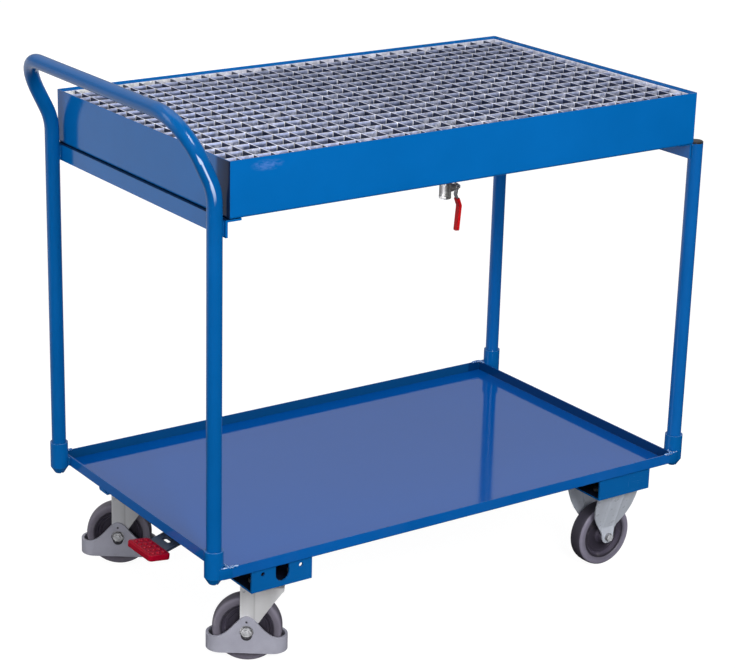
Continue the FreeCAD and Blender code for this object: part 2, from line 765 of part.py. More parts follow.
for side, tag in SIDES:
    place = (dim.castor_left_x, dim.castor_y * side)
    turned = (*place, 0, Z_AXIS, num.swivel_turn)
    finish(swivel_plate(), "swivel_plate_" + tag, *place)
    finish(swivel_fork(), "swivel_fork_" + tag, *turned)
    finish(foot_guard(), "foot_guard_" + tag, *turned)
    finish(castor_pins(), "castor_pins_" + tag, *turned)
    finish(axle_sleeve(dim.trail, dim.fork_in), "axle_sleeve_" + tag, *turned)
    finish_wheel("left_" + tag, *place, dim.trail, num.swivel_turn)
    finish(brake_shoe(), "brake_shoe_" + tag, *turned)
    finish(brake_plunger(), "brake_plunger_" + tag, *place)
finish(swivel_balls(), "swivel_balls")

# ------------------------------------------------------------- fixed castors
# (x, z) of a fixed fork's side view, the +X half from the foot upwards
FIXED_SIDE = [
    (3.0, 49.9), (6.0, 50.5), (8.8, 52.0), (11.0, 54.4), (12.4, 57.5),
    (13.2, 60), (14.2, 69), (17.6, 78), (25.0, 88), (33.6, 99.5), (41.0, 112.5),
    (45.6, 126), (47.8, 139.5), (48.6, 150), (48.8, plate_low)]


def fixed_fork():
    """Two ribbed plates, upright below and splayed above, under a flat top plate."""
    rib, knee_z, foot_z, spread = num.rib_high, 84.0, 49.0, 26.0
    # (x, outward bulge) across the pressed rib
    bulge = [(-56.0, 0.0), (-17.5, 0.0), (-13.0, rib), (13.0, rib), (17.5, 0.0), (56.0, 0.0)]
    legs = []
    for side in (1, -1):
        face = Part.Face(plate_outline(bulge, side, knee_z))
        rise = Vector(0, side * spread, plate_low.value - knee_z)
        legs.append(fixed_shape(face.extrude(rise)))
        legs.append(fixed_shape(face.extrude(Vector(0, 0, foot_z - knee_z))))
    window = prism([(-x, z) for x, z in reversed(FIXED_SIDE)] + FIXED_SIDE, 120, y=-60)
    half_long, half_wide = dim.plate_long / 2, dim.plate_wide / 2 + 12.0
    plate = box(-half_long, half_long, -half_wide, half_wide, plate_low, plate_top)
    return cut(fuse(common(fuse(*legs), window), plate),
               *bolt_holes(plate_low),
               cross_rod(dim.axle_rad + 0.05, 40, 0, axle_z))


fixed_bolts, fixed_sleeves = [], []
for side, tag in SIDES:
    place = (dim.castor_right_x, dim.castor_y * side)
    bolt = axle_bolt(0, fork_out + dim.rib_high, flats=14.0, flange=7.6)
    finish(fixed_fork(), "fixed_fork_" + tag, *place)
    fixed_bolts.append(put(bolt, *place))
    fixed_sleeves.append(put(axle_sleeve(0, dim.fork_in + dim.rib_high), *place))
    finish_wheel("right_" + tag, *place, 0, 0)
finish(group(*fixed_bolts), "fixed_axle_bolts")
finish(group(*fixed_sleeves), "fixed_axle_sleeves")

# ------------------------------------------------------------- brake linkage
# A hexagon shaft across the handle end turns two cams; the pedal arm is keyed
# to it. Each cam pushes a plunger down through its hollow king pin.
# The shaft, cams and bushes are drawn about the shaft's own axis.
shaft_x, shaft_z = dim.castor_left_x, dim.shaft_z


def brake_shaft():
    """Hexagon bar with a tapered centre hole in its near end and a plain one in its far end."""
    end = dim.shaft_end
    return cut(hexagon(dim.shaft_flats, end * 2, y=-end, along="y"),
               cone(2.5, 0.5, 3.0, y=-end, along="y"),
               cylinder(1.2, 6, y=end - 5, along="y"))


def cam(side):
    y, half = dim.castor_y * side, 6
    nose = [(-10, 0), (-12, -7), (-10.8, -10), (-8, -11), (-5.2, -10), (0, -10), (0, 0)]  # (x, z)
    return cut(fuse(cross_rod(10.0, half, y=y), prism(nose, half * 2, y=y - half)),
               hexagon(dim.shaft_flats + 0.1, 20, y=y - 10, along="y"))


def shaft_bush(side):
    """Ring in the slot of a bracket's inner wall."""
    thick = dim.bracket_thick
    y = span(dim.bracket_in, dim.bracket_in + thick, side)[0]
    return cut(cylinder(dim.slot_wide / 2 - 0.1, thick + 4, y=y - 2, along="y"),
               cylinder(dim.shaft_flats / SQRT3 + 0.1, thick + 10, y=y - 5, along="y"))


finish(brake_shaft(), "brake_hex_shaft", shaft_x, 0, shaft_z)
finish(group(cam(-1), cam(1)), "brake_cams", shaft_x, 0, shaft_z)
finish(group(shaft_bush(-1), shaft_bush(1)), "shaft_bushes", shaft_x, 0, shaft_z)

# The arm runs flat from the shaft, ramps down to foot_z at bend_x and tilts up from there.
arm_half, arm_thick = dim.arm_wide / 2, dim.arm_thick
arm_y = dim.pedal_y + dim.arm_side
arm_z = shaft_z + dim.arm_lift
foot_z = arm_z - dim.arm_drop
tilt = math.radians(num.pedal_tilt)
tread_mid = dim.pedal_wide / 2 + 1.5  # from the bend to the tread's centre
bend_x = dim.pedal_x + tread_mid
SHOULDER = 12  # cut from each side of the arm's end to leave a tongue


def miter(angle0, angle1):
    """Offset of the upper corner of a bent plate from its lower corner."""
    x0, z0 = -math.sin(angle0), math.cos(angle0)
    x1, z1 = -math.sin(angle1), math.cos(angle1)
    scale = 1 + x0 * x1 + z0 * z1
    return arm_thick * ((x0 + x1) / scale), arm_thick * ((z0 + z1) / scale)


def pedal_arm():
    fall = math.atan2(num.arm_drop, num.ramp_long)
    reach = dim.pedal_wide / 2 + 9.5
    end_x, end_z = bend_x - reach * math.cos(tilt), foot_z + reach * math.sin(tilt)
    ramp_x, top = bend_x + dim.ramp_long, arm_z + arm_thick
    ramp_dx, ramp_dz = miter(0.0, fall)
    bend_dx, bend_dz = miter(fall, -tilt)
    side_view = [
        (shaft_x, arm_z), (ramp_x, arm_z), (bend_x, foot_z), (end_x, end_z),
        (end_x + arm_thick * math.sin(tilt), end_z + arm_thick * math.cos(tilt)),
        (bend_x + bend_dx, foot_z + bend_dz), (ramp_x + ramp_dx, arm_z + ramp_dz),
        (shaft_x, top)]
    body = fuse(cross_rod(11.0, arm_half, shaft_x, shaft_z, arm_y),
                prism(side_view, arm_half * 2, y=arm_y - arm_half))

    slot_x, slot_rad, slot_y0, slot_y1 = bend_x + 20.0, 4.5, arm_y - 7, arm_y + 8
    tools = [hexagon(dim.shaft_flats + 0.1, arm_half * 2 + 4,
                     shaft_x, arm_y - arm_half - 2, shaft_z, "y"),
             box(slot_x - slot_rad, slot_x + slot_rad, slot_y0, slot_y1, foot_z - 2, top + 2)]
    tools += [cylinder(slot_rad, arm_thick + 16, slot_x, y, foot_z - 2)
              for y in (slot_y0, slot_y1)]
    for y0, y1 in ((arm_y - arm_half - 1, arm_y - arm_half + SHOULDER),
                   (arm_y + arm_half - SHOULDER, arm_y + arm_half + 1)):
        tools.append(box(dim.pedal_x - 32, bend_x, y0, y1, foot_z - 2, top + 12))
    return cut(body, *tools)


def pedal_tread():
    """Rounded pad with a grid of studs and a lip, drawn flat about its own centre."""
    half_wide, half_long = dim.pedal_wide / 2, dim.pedal_long / 2
    top, gap = arm_thick + dim.tread_skin, 0.05
    slab = box(-half_wide, half_wide, -half_long, half_long, -dim.tread_skin, top)
    rounded = fillet(slab, lambda bounds: 7.0 if bounds.ZLength > 1.0 else 0)
    eased = fillet(rounded, lambda bounds: 1.8 if bounds.ZLength < 1e-6 else 0)
    studs = [cone(4.6, 3.0, 2.6, -10.0 + 10.8 * j, -30.0 + 15.0 * i, top - 0.2)
             for i in range(5) for j in range(3)]
    lip = box(2.0 - half_wide, 5.4 - half_wide, 8.0 - half_long, half_long - 8.0,
              top - 1.0, top + 2.2)
    lip = fillet(lip, lambda bounds: 1.0 if bounds.ZMax > top.value + 2.0 else 0)
    tongue_half = arm_half - SHOULDER + gap
    tongue = box(-8.06, half_wide + 4, dim.arm_side - tongue_half, dim.arm_side + tongue_half,
                 -gap, arm_thick + gap)
    return cut(fuse(eased, *studs, lip), tongue)


finish(pedal_arm(), "pedal_arm")
finish(pedal_tread(), "pedal_tread", bend_x - tread_mid * math.cos(tilt), dim.pedal_y,
       foot_z + tread_mid * math.sin(tilt), Y_AXIS, num.pedal_tilt)

# --------------------------------------------------------------- drain valve
# Drawn about the drain's upright axis; the stem runs along +X at stem_z.
stem_z, valve_top, valve_low = dim.stem_z, dim.valve_top, dim.valve_low
# (x, z - stem_z) centre lines, from the top down
LEVER_STEP = [(27.6, -24.0), (32.0, -35.0)]
LEVER_LINE = [(24.3, 7.0), (24.3, -9.0), (23.2, -14.0)] + LEVER_STEP + [(28.6, -75.0)]
SHEATH_LINE = [(26.39, -21.26)] + LEVER_STEP + [(28.1, -81.5)]
HOLLOW_LINE = [(24.38, -16.68)] + LEVER_STEP + [(28.59, -75.1)]


def on_stem(radius, length, x=0):
    return cylinder(radius, length, x, 0, stem_z, "x")


def flatted_rod(radius, half_flat, x, length):
    """Rod on the stem's axis with a flat on each Y side."""
    return common(on_stem(radius, length, x),
                  box(x - 1, x + length + 1, -half_flat, half_flat, stem_z - 4, stem_z + 4))


def drain_nipple():
    bore, low = dim.drain_bore, tray_low - 3.0
    return cut(fuse(cylinder(bore + 1.9, 5.0, z=low), cylinder(bore + 3.5, 3.0, z=low),
                    cylinder(bore + 1.4, tray_low - valve_top + 12, z=valve_top - 12)),
               cylinder(bore - 1.2, 80, z=valve_top - 20))


def valve_body():
    """Hexagon ends, the lower one tapered below, round a barrel with a stem boss."""
    flats, end, taper = dim.valve_flats, 13, 5
    half = flats / 2
    lower_end = common(hexagon(flats, end, z=valve_low),
                       cone(half - 0.6, half + 4.4, taper, z=valve_low))
    outside = fuse(lower_end,
                   cylinder(half - 0.3, end - taper, z=valve_low + taper),
                   hexagon(flats, end, z=valve_top - end),
                   cylinder(half + 0.4, valve_top - valve_low - 10, z=valve_low + taper),
                   on_stem(7.5, 15))
    return cut(outside,
               cylinder(dim.drain_bore + 1.42, 12.1, z=valve_top - 12.1),  # nipple
               cylinder(6.8, 60, z=valve_low - 5),  # passage
               cylinder(8.6, 18.0, z=stem_z - 9.0),  # ball and seats
               on_stem(dim.stem_rad + 0.1, 30),
               on_stem(5.2, 12, 10.2))  # packing nut


def valve_seat(side):
    z0, z1 = span(5.6, 8.9, side)
    return cut(cylinder(8.55, z1 - z0, z=stem_z + z0),
               sphere(dim.valve_ball + 0.05, z=stem_z),
               cylinder(5.2, 8, z=stem_z + z0 - 2))


def valve_ball():
    """Bored ball with a slot for the stem's tang."""
    return cut(sphere(dim.valve_ball, z=stem_z), cylinder(5.0, 30, z=stem_z - 15),
               box(6.2, 10, -1.6, 1.6, stem_z - 10, stem_z + 10))


def valve_stem():
    return fuse(on_stem(dim.stem_rad, 15.0, 8.2),
                box(6.3, 8.4, -1.5, 1.5, stem_z - 2.4, stem_z + 2.4),
                flatted_rod(dim.stem_rad, 2.2, 23.0, 9.0))


def packing_nut():
    return cut(fuse(on_stem(5.1, 6.0, 11), hexagon(12.0, 4.0, 15.2, 0, stem_z, "x")),
               on_stem(dim.stem_rad + 0.08, 30))


def ribbon(path, half):
    """Outline of constant thickness, half to each side of a centre line."""
    def normal(start, end):
        dx, dz = end[0] - start[0], end[1] - start[1]
        length = math.hypot(dx, dz)
        return -dz / length, dx / length

    normals = [normal(*pair) for pair in zip(path, path[1:])]
    left, right = [], []
    for (x, z), before, after in zip(path, normals[:1] + normals, normals + normals[-1:]):
        scale = half / (1 + before[0] * after[0] + before[1] * after[1])
        dx, dz = (before[0] + after[0]) * scale, (before[1] + after[1]) * scale
        left.append((x + dx, z + dz))
        right.append((x - dx, z - dz))
    return left + right[::-1]


def strip(path, half_thick, half_wide):
    return prism(ribbon(path, half_thick), half_wide * 2, y=-half_wide, z=stem_z)


def valve_lever():
    """Flat bar stepped outwards, hanging from a round eye on the stem."""
    return cut(fuse(strip(LEVER_LINE, 1.1, 4.3), on_stem(7.0, 2.2, 23.2)),
               flatted_rod(dim.stem_rad + 0.05, 2.25, 20.0, 12.0))


def lever_grip():
    """Sheath over the lever's lower part, its long edges eased and its lower end rounded."""
    def radius_of(bounds):
        if bounds.YLength >= 1e-6:
            return 0
        if bounds.ZLength > 8.0:
            return 1.6
        return 4.5 if bounds.ZMax < stem_z.value - 79.0 else 0

    return cut(fillet(strip(SHEATH_LINE, 2.9, 6.2), radius_of), strip(HOLLOW_LINE, 1.15, 4.35))


def lever_nut():
    return cut(hexagon(8.0, 4.0, 25.5, 0, stem_z, "x"),
               flatted_rod(dim.stem_rad + 0.02, 2.22, 20.0, 12.0))


for make in (drain_nipple, valve_body, valve_ball, valve_stem, packing_nut, valve_lever,
             lever_grip, lever_nut):
    finish(make(), make.__name__, dim.drain_x, dim.drain_y)
finish(group(valve_seat(1), valve_seat(-1)), "valve_seats", dim.drain_x, dim.drain_y)

# ------------------------------------------------------------ check and write
doc.recompute()
failed = [obj.Name for obj in doc.Objects if "Invalid" in obj.State or "Error" in obj.State]
if failed:
    raise RuntimeError("failed objects: " + ", ".join(failed))
if len({piece.Label for piece in pieces}) < len(pieces):
    raise RuntimeError("label used twice")
for piece in pieces:
    if piece.Shape.isNull() or not piece.Shape.isValid() or not piece.Shape.Solids:
        raise RuntimeError("bad shape: " + piece.Label)

os.makedirs("parts", exist_ok=True)
for old in os.listdir("parts"):
    if old.endswith(".step"):
        os.remove(os.path.join("parts", old))
for piece in pieces:
    piece.Shape.exportStep("parts/" + piece.Label + ".step")
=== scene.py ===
# A trolley on four castors: a catch tray with a galvanised grating on top, a shallow deck
# below it, tube legs, a handle, a drain valve and two swivelling and two fixed castors.
# Metres, z up from the floor. The length lies along x and the width along y.
# "left" is -x (the handle and swivel castors), "right" is +x (the fixed castors),
# "near" is -y and "far" is +y.
import bpy
import bmesh
import math
import random
from mathutils import Matrix, Vector

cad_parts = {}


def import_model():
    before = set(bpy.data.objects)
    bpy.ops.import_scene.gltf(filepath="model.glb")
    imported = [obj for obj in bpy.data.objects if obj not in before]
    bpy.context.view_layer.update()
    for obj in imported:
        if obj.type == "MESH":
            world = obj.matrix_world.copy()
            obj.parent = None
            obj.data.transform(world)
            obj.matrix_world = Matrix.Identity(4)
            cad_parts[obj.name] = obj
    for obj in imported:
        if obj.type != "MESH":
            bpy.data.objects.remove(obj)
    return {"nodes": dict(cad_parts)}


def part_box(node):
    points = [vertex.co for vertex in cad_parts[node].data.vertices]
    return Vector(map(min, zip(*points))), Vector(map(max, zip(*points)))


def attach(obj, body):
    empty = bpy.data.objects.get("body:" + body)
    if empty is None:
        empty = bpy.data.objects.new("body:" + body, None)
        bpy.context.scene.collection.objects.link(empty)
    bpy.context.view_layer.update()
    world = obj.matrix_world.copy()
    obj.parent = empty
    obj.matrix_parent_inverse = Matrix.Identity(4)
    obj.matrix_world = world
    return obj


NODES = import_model()["nodes"]
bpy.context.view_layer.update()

scene = bpy.context.scene
random.seed(7)

ENDS = (("left", -1), ("right", 1))
SIDES = (("near", -1), ("far", 1))

CENTRE_X = 0.0283          # middle of the trolley along x
DECK_X, DECK_Y = 0.502, 0.3065    # half length and half width of the lower deck
LEG_X, LEG_Y = 0.5189, 0.2864     # legs, from the middle
ANGLE_X = LEG_X - 0.01345         # flanks of the legs where the cross angles meet them
GRATING_TOP = 0.9328

WHEEL_RADIUS = 0.0625
WHEEL_X, WHEEL_Y = 0.389, 0.236   # king pins, from the middle
SWIVEL_X = CENTRE_X - WHEEL_X
FIXED_X = CENTRE_X + WHEEL_X
TRAIL = 0.026              # from king pin to swivel axle
SWIVEL = math.radians(144.86)
TRAIL_X, TRAIL_Y = math.cos(SWIVEL), math.sin(SWIVEL)
SWIVEL_CROSS = (0.5756, 0.8177)   # direction of the swivel axles
FORK_HALF = 0.05           # tone bands cover this far each way from the king pin


# --------------------------------------------------------------- node helpers
class Nodes:
    """A node tree, emptied and then written as a chain of calls."""

    def __init__(self, tree):
        self.tree = tree
        tree.nodes.clear()

    def feed(self, socket, value):
        """Link a socket to another, or set its value."""
        if isinstance(value, bpy.types.NodeSocket):
            self.tree.links.new(value, socket)
        else:
            socket.default_value = (*value, 1) if socket.type == "RGBA" else value

    def node(self, kind, inputs=None, **settings):
        node = self.tree.nodes.new(kind)
        for key, value in settings.items():
            setattr(node, key, value)
        for key, value in (inputs or {}).items():
            self.feed(node.inputs[key], value)
        return node

    def split(self, vector):
        return tuple(self.node("ShaderNodeSeparateXYZ", {0: vector}).outputs)

    def math(self, operation, first, second=0.0, clamp=False):
        node = self.node("ShaderNodeMath", {0: first, 1: second},
                         operation=operation, use_clamp=clamp)
        return node.outputs[0]

    def mul(self, first, second, clamp=False):
        return self.math("MULTIPLY", first, second, clamp)

    def smoothstep(self, value, start, end, low, high):
        node = self.node("ShaderNodeMapRange", {
            "Value": value, "From Min": start, "From Max": end, "To Min": low, "To Max": high,
        }, interpolation_type="SMOOTHSTEP")
        return node.outputs[0]

    def emitter(self, kind, color, strength=1.0):
        return self.node(kind, {0: color, 1: strength}).outputs[0]

    def mix_shader(self, factor, first, second):
        return self.node("ShaderNodeMixShader", {0: factor, 1: first, 2: second}).outputs[0]


MATERIALS = {}


class Material(Nodes):
    """A material around one Principled shader, with textures in object coordinates."""

    def __init__(self, name):
        self.material = bpy.data.materials.new(name)
        self.material.use_nodes = True
        super().__init__(self.material.node_tree)
        MATERIALS[name] = self.material
        output = self.node("ShaderNodeOutputMaterial")
        self.shader = self.node("ShaderNodeBsdfPrincipled")
        self.feed(output.inputs[0], self.shader.outputs[0])
        self.place = self.node("ShaderNodeTexCoord").outputs["Object"]

    def set(self, inputs):
        for key, value in inputs.items():
            self.feed(self.shader.inputs[key], value)

    # where the point is and which way it faces
    def position(self):
        return self.split(self.place)

    def facing(self):
        return self.split(self.node("ShaderNodeNewGeometry").outputs["Normal"])

    def own_facing(self):
        """Normal in the part's own rest frame, so it turns with the part."""
        return self.split(self.node("ShaderNodeTexCoord").outputs["Normal"])

    # arithmetic
    def add(self, first, second):
        return self.math("ADD", first, second)

    def sub(self, first, second, clamp=False):
        return self.math("SUBTRACT", first, second, clamp)

    def absolute(self, value):
        return self.math("ABSOLUTE", value)

    def above(self, value, limit):
        return self.math("GREATER_THAN", value, limit)

    def below(self, value, limit):
        return self.math("LESS_THAN", value, limit)

    def between(self, value, low, high):
        return self.mul(self.above(value, low), self.below(value, high))

    def rise(self, value, start, span):
        """0 up to start, then climbing to 1 over span."""
        return self.mul(self.sub(value, start), 1 / span, clamp=True)

    def drop(self, value, end, span):
        """1 until span before end, then down to 0 at end."""
        return self.mul(self.sub(end, value), 1 / span, clamp=True)

    def vector(self, operation, *values, output="Vector"):
        node = self.node("ShaderNodeVectorMath", dict(enumerate(values)), operation=operation)
        return node.outputs[output]

    def scaled(self, vector, factor):
        node = self.node("ShaderNodeVectorMath", {0: vector, "Scale": factor},
                         operation="SCALE")
        return node.outputs[0]

    def radius_about(self, centre, axis):
        """Distance from the line through centre along axis, a unit vector."""
        offset = self.vector("SUBTRACT", self.place, centre)
        across = self.vector("CROSS_PRODUCT", offset, axis)
        return self.vector("LENGTH", across, output="Value")

    # textures
    def stretched(self, scale, rotation=(0, 0, 0)):
        node = self.node("ShaderNodeMapping",
                         {"Scale": scale, "Rotation": rotation, "Vector": self.place})
        return node.outputs[0]

    def noise(self, scale, detail, rough=0.5, vector=None, distort=0.0):
        node = self.node("ShaderNodeTexNoise", {
            "Scale": scale, "Detail": detail, "Roughness": rough, "Distortion": distort,
            "Vector": vector or self.place})
        return node.outputs["Fac"]

    def voronoi(self, scale, output):
        node = self.node("ShaderNodeTexVoronoi", {"Scale": scale, "Vector": self.place})
        return node.outputs[output]

    # blending
    def ramp(self, factor, stops):
        """Stops are (position, grey tone)."""
        node = self.node("ShaderNodeValToRGB", {0: factor})
        elements = node.color_ramp.elements
        while len(elements) < len(stops):
            elements.new(0.5)
        for element, (position, tone) in zip(elements, stops):
            element.position = position
            element.color = (tone, tone, tone, 1)
        return node.outputs[0]

    def fade(self, factor, start, end):
        return self.ramp(factor, [(start, 0.0), (end, 1.0)])

    def mix(self, factor, first, second):
        node = self.node("ShaderNodeMix", {"Factor": factor, 6: first, 7: second},
                         data_type="RGBA")
        return node.outputs[2]

    def tint(self, color, mask, toward, amount):
        return self.mix(self.mul(mask, amount), color, toward)

    def lerp(self, factor, low, high):
        node = self.node("ShaderNodeMix", {"Factor": factor, 2: low, 3: high},
                         data_type="FLOAT")
        return node.outputs[0]

    # edges and relief
    def bevel(self, radius, samples=4):
        return self.node("ShaderNodeBevel", {"Radius": radius}, samples=samples).outputs[0]

    def edge(self, radius, gain):
        """0 on flat surfaces, up to 1 along sharp edges."""
        rounded = self.bevel(radius)
        normal = self.node("ShaderNodeNewGeometry").outputs["Normal"]
        flat = self.vector("DOT_PRODUCT", rounded, normal, output="Value")
        return self.mul(self.sub(1.0, flat), gain, clamp=True)

    def bump(self, height, strength, distance, bevel):
        node = self.node("ShaderNodeBump", {
            "Strength": strength, "Distance": distance, "Height": height,
            "Normal": self.bevel(bevel)})
        return node.outputs[0]


def srgb(*channels):
    """Linear colour from 0-255 sRGB channels."""
    def linear(value):
        value = value / 255.0
        return value / 12.92 if value <= 0.04045 else ((value + 0.055) / 1.055) ** 2.4
    return tuple(linear(value) for value in channels)


def times(color, factor, lift=0.0):
    return tuple(min(1.0, value * factor + lift) for value in color)


# ----------------------------------------------------------------- blue paint
def rub(mat, color):
    """Rubbed oval on the near wall of the catch tray."""
    centre_x, centre_z = -0.400, 0.9235
    half_width, half_height = 0.034, 0.011
    wall_y = -0.29
    x, y, z = mat.position()
    across = mat.mul(mat.sub(x, centre_x), 1 / half_width)
    rise = mat.mul(mat.sub(z, centre_z), 1 / half_height)
    squared = mat.add(mat.mul(across, across), mat.mul(rise, rise))
    oval = mat.sub(1.0, squared, clamp=True)
    streaks = mat.noise(1.0, detail=4, rough=0.6, vector=mat.stretched((70, 70, 190)))
    streaks = mat.fade(streaks, start=0.40, end=0.62)
    strength = mat.mul(mat.below(y, wall_y), 0.55)
    return mat.mix(mat.mul(mat.mul(oval, streaks), strength), color, srgb(96, 132, 200))


def softbox_strip(mat):
    """Reflection of a tall narrow softbox, glowing on the upper near part of the handle."""
    geometry = mat.node("ShaderNodeNewGeometry").outputs
    view = mat.scaled(geometry["Incoming"], -1.0)
    ray_x, ray_y, ray_z = mat.split(mat.vector("REFLECT", view, geometry["Normal"]))
    _, y, z = mat.position()
    high = mat.fade(mat.rise(z, start=0.86, span=0.125), start=0.0, end=0.35)
    near = mat.below(y, -0.12)

    def window(value, low, high, soft):
        return mat.mul(mat.rise(value, low, soft), mat.drop(value, high, soft))

    mask = mat.mul(window(ray_x, low=-0.56, high=0.12, soft=0.10),
                   window(ray_z, low=-0.66, high=-0.30, soft=0.07))
    mask = mat.mul(mask, mat.below(ray_y, -0.25))
    _, eye_y, _ = mat.split(geometry["Incoming"])
    mask = mat.mul(mask, mat.below(eye_y, -0.35))
    mask = mat.mul(mat.mul(mask, high), near)
    strength = 0.62
    mat.set({"Emission Color": (0.93, 0.96, 1.0), "Emission Strength": mat.mul(mask, strength)})


def blue_paint(name, base, spec, rough, peel=0.10, dust=0.0, glint=0.0, rim=0.0,
               shade=None, rubbed=False, strip=False):
    """Powder coat with scratches and worn edges.

    peel is the depth of the orange peel; dust is how strongly dust shows, glint how strongly
    white specks show as painted glints, and rim how strongly a painted highlight lightens the
    edges. shade(mat) returns the mask of painted shade, the colour under it and the share of
    specular kept there.
    """
    mat = Material(name)
    drift = mat.noise(5.5, detail=3, rough=0.55)
    mottle = mat.noise(55, detail=4, rough=0.6)
    color = mat.mix(mat.fade(drift, start=0.3, end=0.7),
                    times(base, 0.93), times(base, 1.06, lift=0.0008))
    color = mat.tint(color, mat.fade(mottle, start=0.45, end=0.75),
                     times(base, 0.8), amount=0.05)

    # fine handling scratches, thin streaks in two directions
    scratches = [
        mat.noise(1.0, detail=4, rough=0.6, vector=mat.stretched(scale, turn), distort=0.4)
        for scale, turn in (((18, 18, 900), (0.3, 0.2, 0.4)), ((700, 14, 30), (0.2, 0.6, 0.9)))]
    patch = mat.fade(mat.noise(3.2, detail=2), start=0.52, end=0.72)
    scratch = mat.mul(mat.fade(mat.math("MAXIMUM", *scratches), start=0.66, end=0.74), patch)
    color = mat.tint(color, scratch, srgb(70, 130, 190), amount=0.16)

    edge = mat.edge(radius=0.0012, gain=3.2)
    chips = mat.fade(mat.noise(70, detail=4, rough=0.65), start=0.45, end=0.62)
    color = mat.tint(color, mat.mul(edge, chips), srgb(90, 140, 195), amount=0.22)
    # Painted highlight along the edges.
    if rim:
        color = mat.tint(color, edge, srgb(120, 170, 222), amount=rim)
    if rubbed:
        color = rub(mat, color)
    if dust:
        film = mat.fade(mat.noise(9, detail=5, rough=0.65), start=0.42, end=0.75)
        color = mat.tint(color, film, srgb(150, 160, 175), amount=dust)
    gloss = mat.fade(mat.noise(24, detail=4, rough=0.6), start=0.3, end=0.7)
    roughness = mat.lerp(gloss, low=rough * 0.85, high=rough * 1.2)
    scratch_roughness = 0.12
    roughness = mat.add(roughness, mat.mul(scratch, scratch_roughness))
    if shade:
        mask, toward, keep = shade(mat)
        color = mat.mix(mask, color, toward)
        kept = spec * keep if isinstance(keep, float) else mat.mul(keep, spec)
        spec = mat.lerp(mask, spec, kept)
    # Painted glints: white specks standing for highlights on a weld bead.
    if glint:
        glints = mat.fade(mat.noise(620, detail=2), start=0.52, end=0.58)
        color = mat.tint(color, glints, srgb(226, 236, 248), amount=glint)

    grain_share = 0.25
    orange_peel = mat.noise(420, detail=2)
    grain = mat.noise(1900, detail=2)
    height = mat.add(orange_peel, mat.mul(grain, grain_share))
    normal = mat.bump(height, strength=peel, distance=0.00035, bevel=0.0011)
    if strip:
        softbox_strip(mat)
    mat.set({"Base Color": color, "Roughness": roughness, "Specular IOR Level": spec,
             "Normal": normal})


def deck_shade(mat):
    """Inside of the deck: painted shade on the rim walls under the tray, darkest on the right
    end wall, with most of their specular taken away, and the floor a slightly purer blue that
    keeps its specular.
    """
    half_length, half_width = 0.5013, 0.3058
    right_end_x = 0.5
    wall_amount, right_wall_amount, floor_amount = 0.97, 0.88, 0.85
    x, y, _ = mat.position()
    _, _, up = mat.facing()
    along = mat.absolute(mat.sub(x, CENTRE_X))
    inside = mat.mul(mat.below(along, half_length), mat.below(mat.absolute(y), half_width))
    wall = mat.mul(inside, mat.below(mat.absolute(up), 0.5))
    right_end = mat.above(x, right_end_x)
    floor = mat.mul(inside, mat.above(up, 0.5))
    tone = mat.mix(right_end, srgb(10, 68, 118), srgb(2, 42, 88))
    tone = mat.mix(floor, tone, srgb(0, 82, 166))
    mask = mat.add(mat.mul(wall, mat.lerp(right_end, wall_amount, right_wall_amount)),
                   mat.mul(floor, floor_amount))
    return mask, tone, mat.lerp(floor, low=0.25, high=0.98)


def bracket_shade(mat):
    """Painted shade inside the channel: near black, with most of the specular taken away."""
    _, y, z = mat.position()
    inner = mat.mul(mat.between(mat.absolute(y), low=0.1985, high=0.2975),
                    mat.above(z, 0.1702))
    return inner, (0.006, 0.009, 0.020), 0.2


def tub_shade(mat):
    """Painted shade in the gap where the tray meets its cross angle, and painted shade on the
    strip of the left wall that stands close behind the near limb of the handle, darkest at the
    near corner."""
    gap_top, gap_amount = 0.8421, 0.96
    x, y, z = mat.position()
    normal_x, _, _ = mat.facing()
    low = mat.below(z, gap_top)
    end = mat.above(mat.absolute(normal_x), 0.30)
    gap = mat.mul(mat.mul(low, end), gap_amount)
    left = mat.mul(mat.below(normal_x, -0.5), mat.below(x, -0.40))
    band = mat.ramp(mat.rise(y, start=-0.301, span=0.10),
                    [(0.0, 0.98), (0.10, 0.86), (0.36, 0.74), (0.46, 0.0)])
    return mat.math("MAXIMUM", gap, mat.mul(band, left)), (0.008, 0.013, 0.036), 0.25


def angle_shade(mat):
    """Painted shade on the top of the cross angle, under the tray."""
    top_z, amount = 0.8401, 0.9
    _, _, z = mat.position()
    return mat.mul(mat.above(z, top_z), amount), (0.005, 0.012, 0.034), 0.2


BLUE = srgb(2, 97, 170)
TUBE_BLUE = srgb(2, 86, 152)
blue_paint("blue_powder_coat", BLUE, spec=0.5, rough=0.20)
blue_paint("blue_tub_coat", BLUE, spec=0.46, rough=0.12, shade=tub_shade, rubbed=True)
blue_paint("blue_angle_coat", BLUE, spec=0.5, rough=0.12, shade=angle_shade)
# A darker copy of the blue: painted shade for the brackets low under the deck.
blue_paint("blue_bracket_coat", srgb(2, 88, 155), spec=0.5, rough=0.22, shade=bracket_shade)
blue_paint("blue_deck_coat", srgb(6, 86, 160), spec=0.525, rough=0.075, peel=0.045,
           dust=0.02, shade=deck_shade)
blue_paint("blue_tube_coat", TUBE_BLUE, spec=0.5, rough=0.15, peel=0.07)
blue_paint("blue_leg_coat", srgb(9, 92, 164), spec=0.5, rough=0.16, peel=0.07)
# Its rim is a painted highlight along the sockets' top edges.
blue_paint("blue_socket_coat", srgb(3, 90, 158), spec=0.5, rough=0.14, peel=0.07, rim=0.75)
blue_paint("blue_handle_coat", TUBE_BLUE, spec=0.36, rough=0.15, peel=0.07, strip=True)
# Its white specks are painted glints on the weld beads.
blue_paint("blue_weld_coat", srgb(4, 96, 168), spec=0.7, rough=0.10, peel=0.05, glint=0.7)


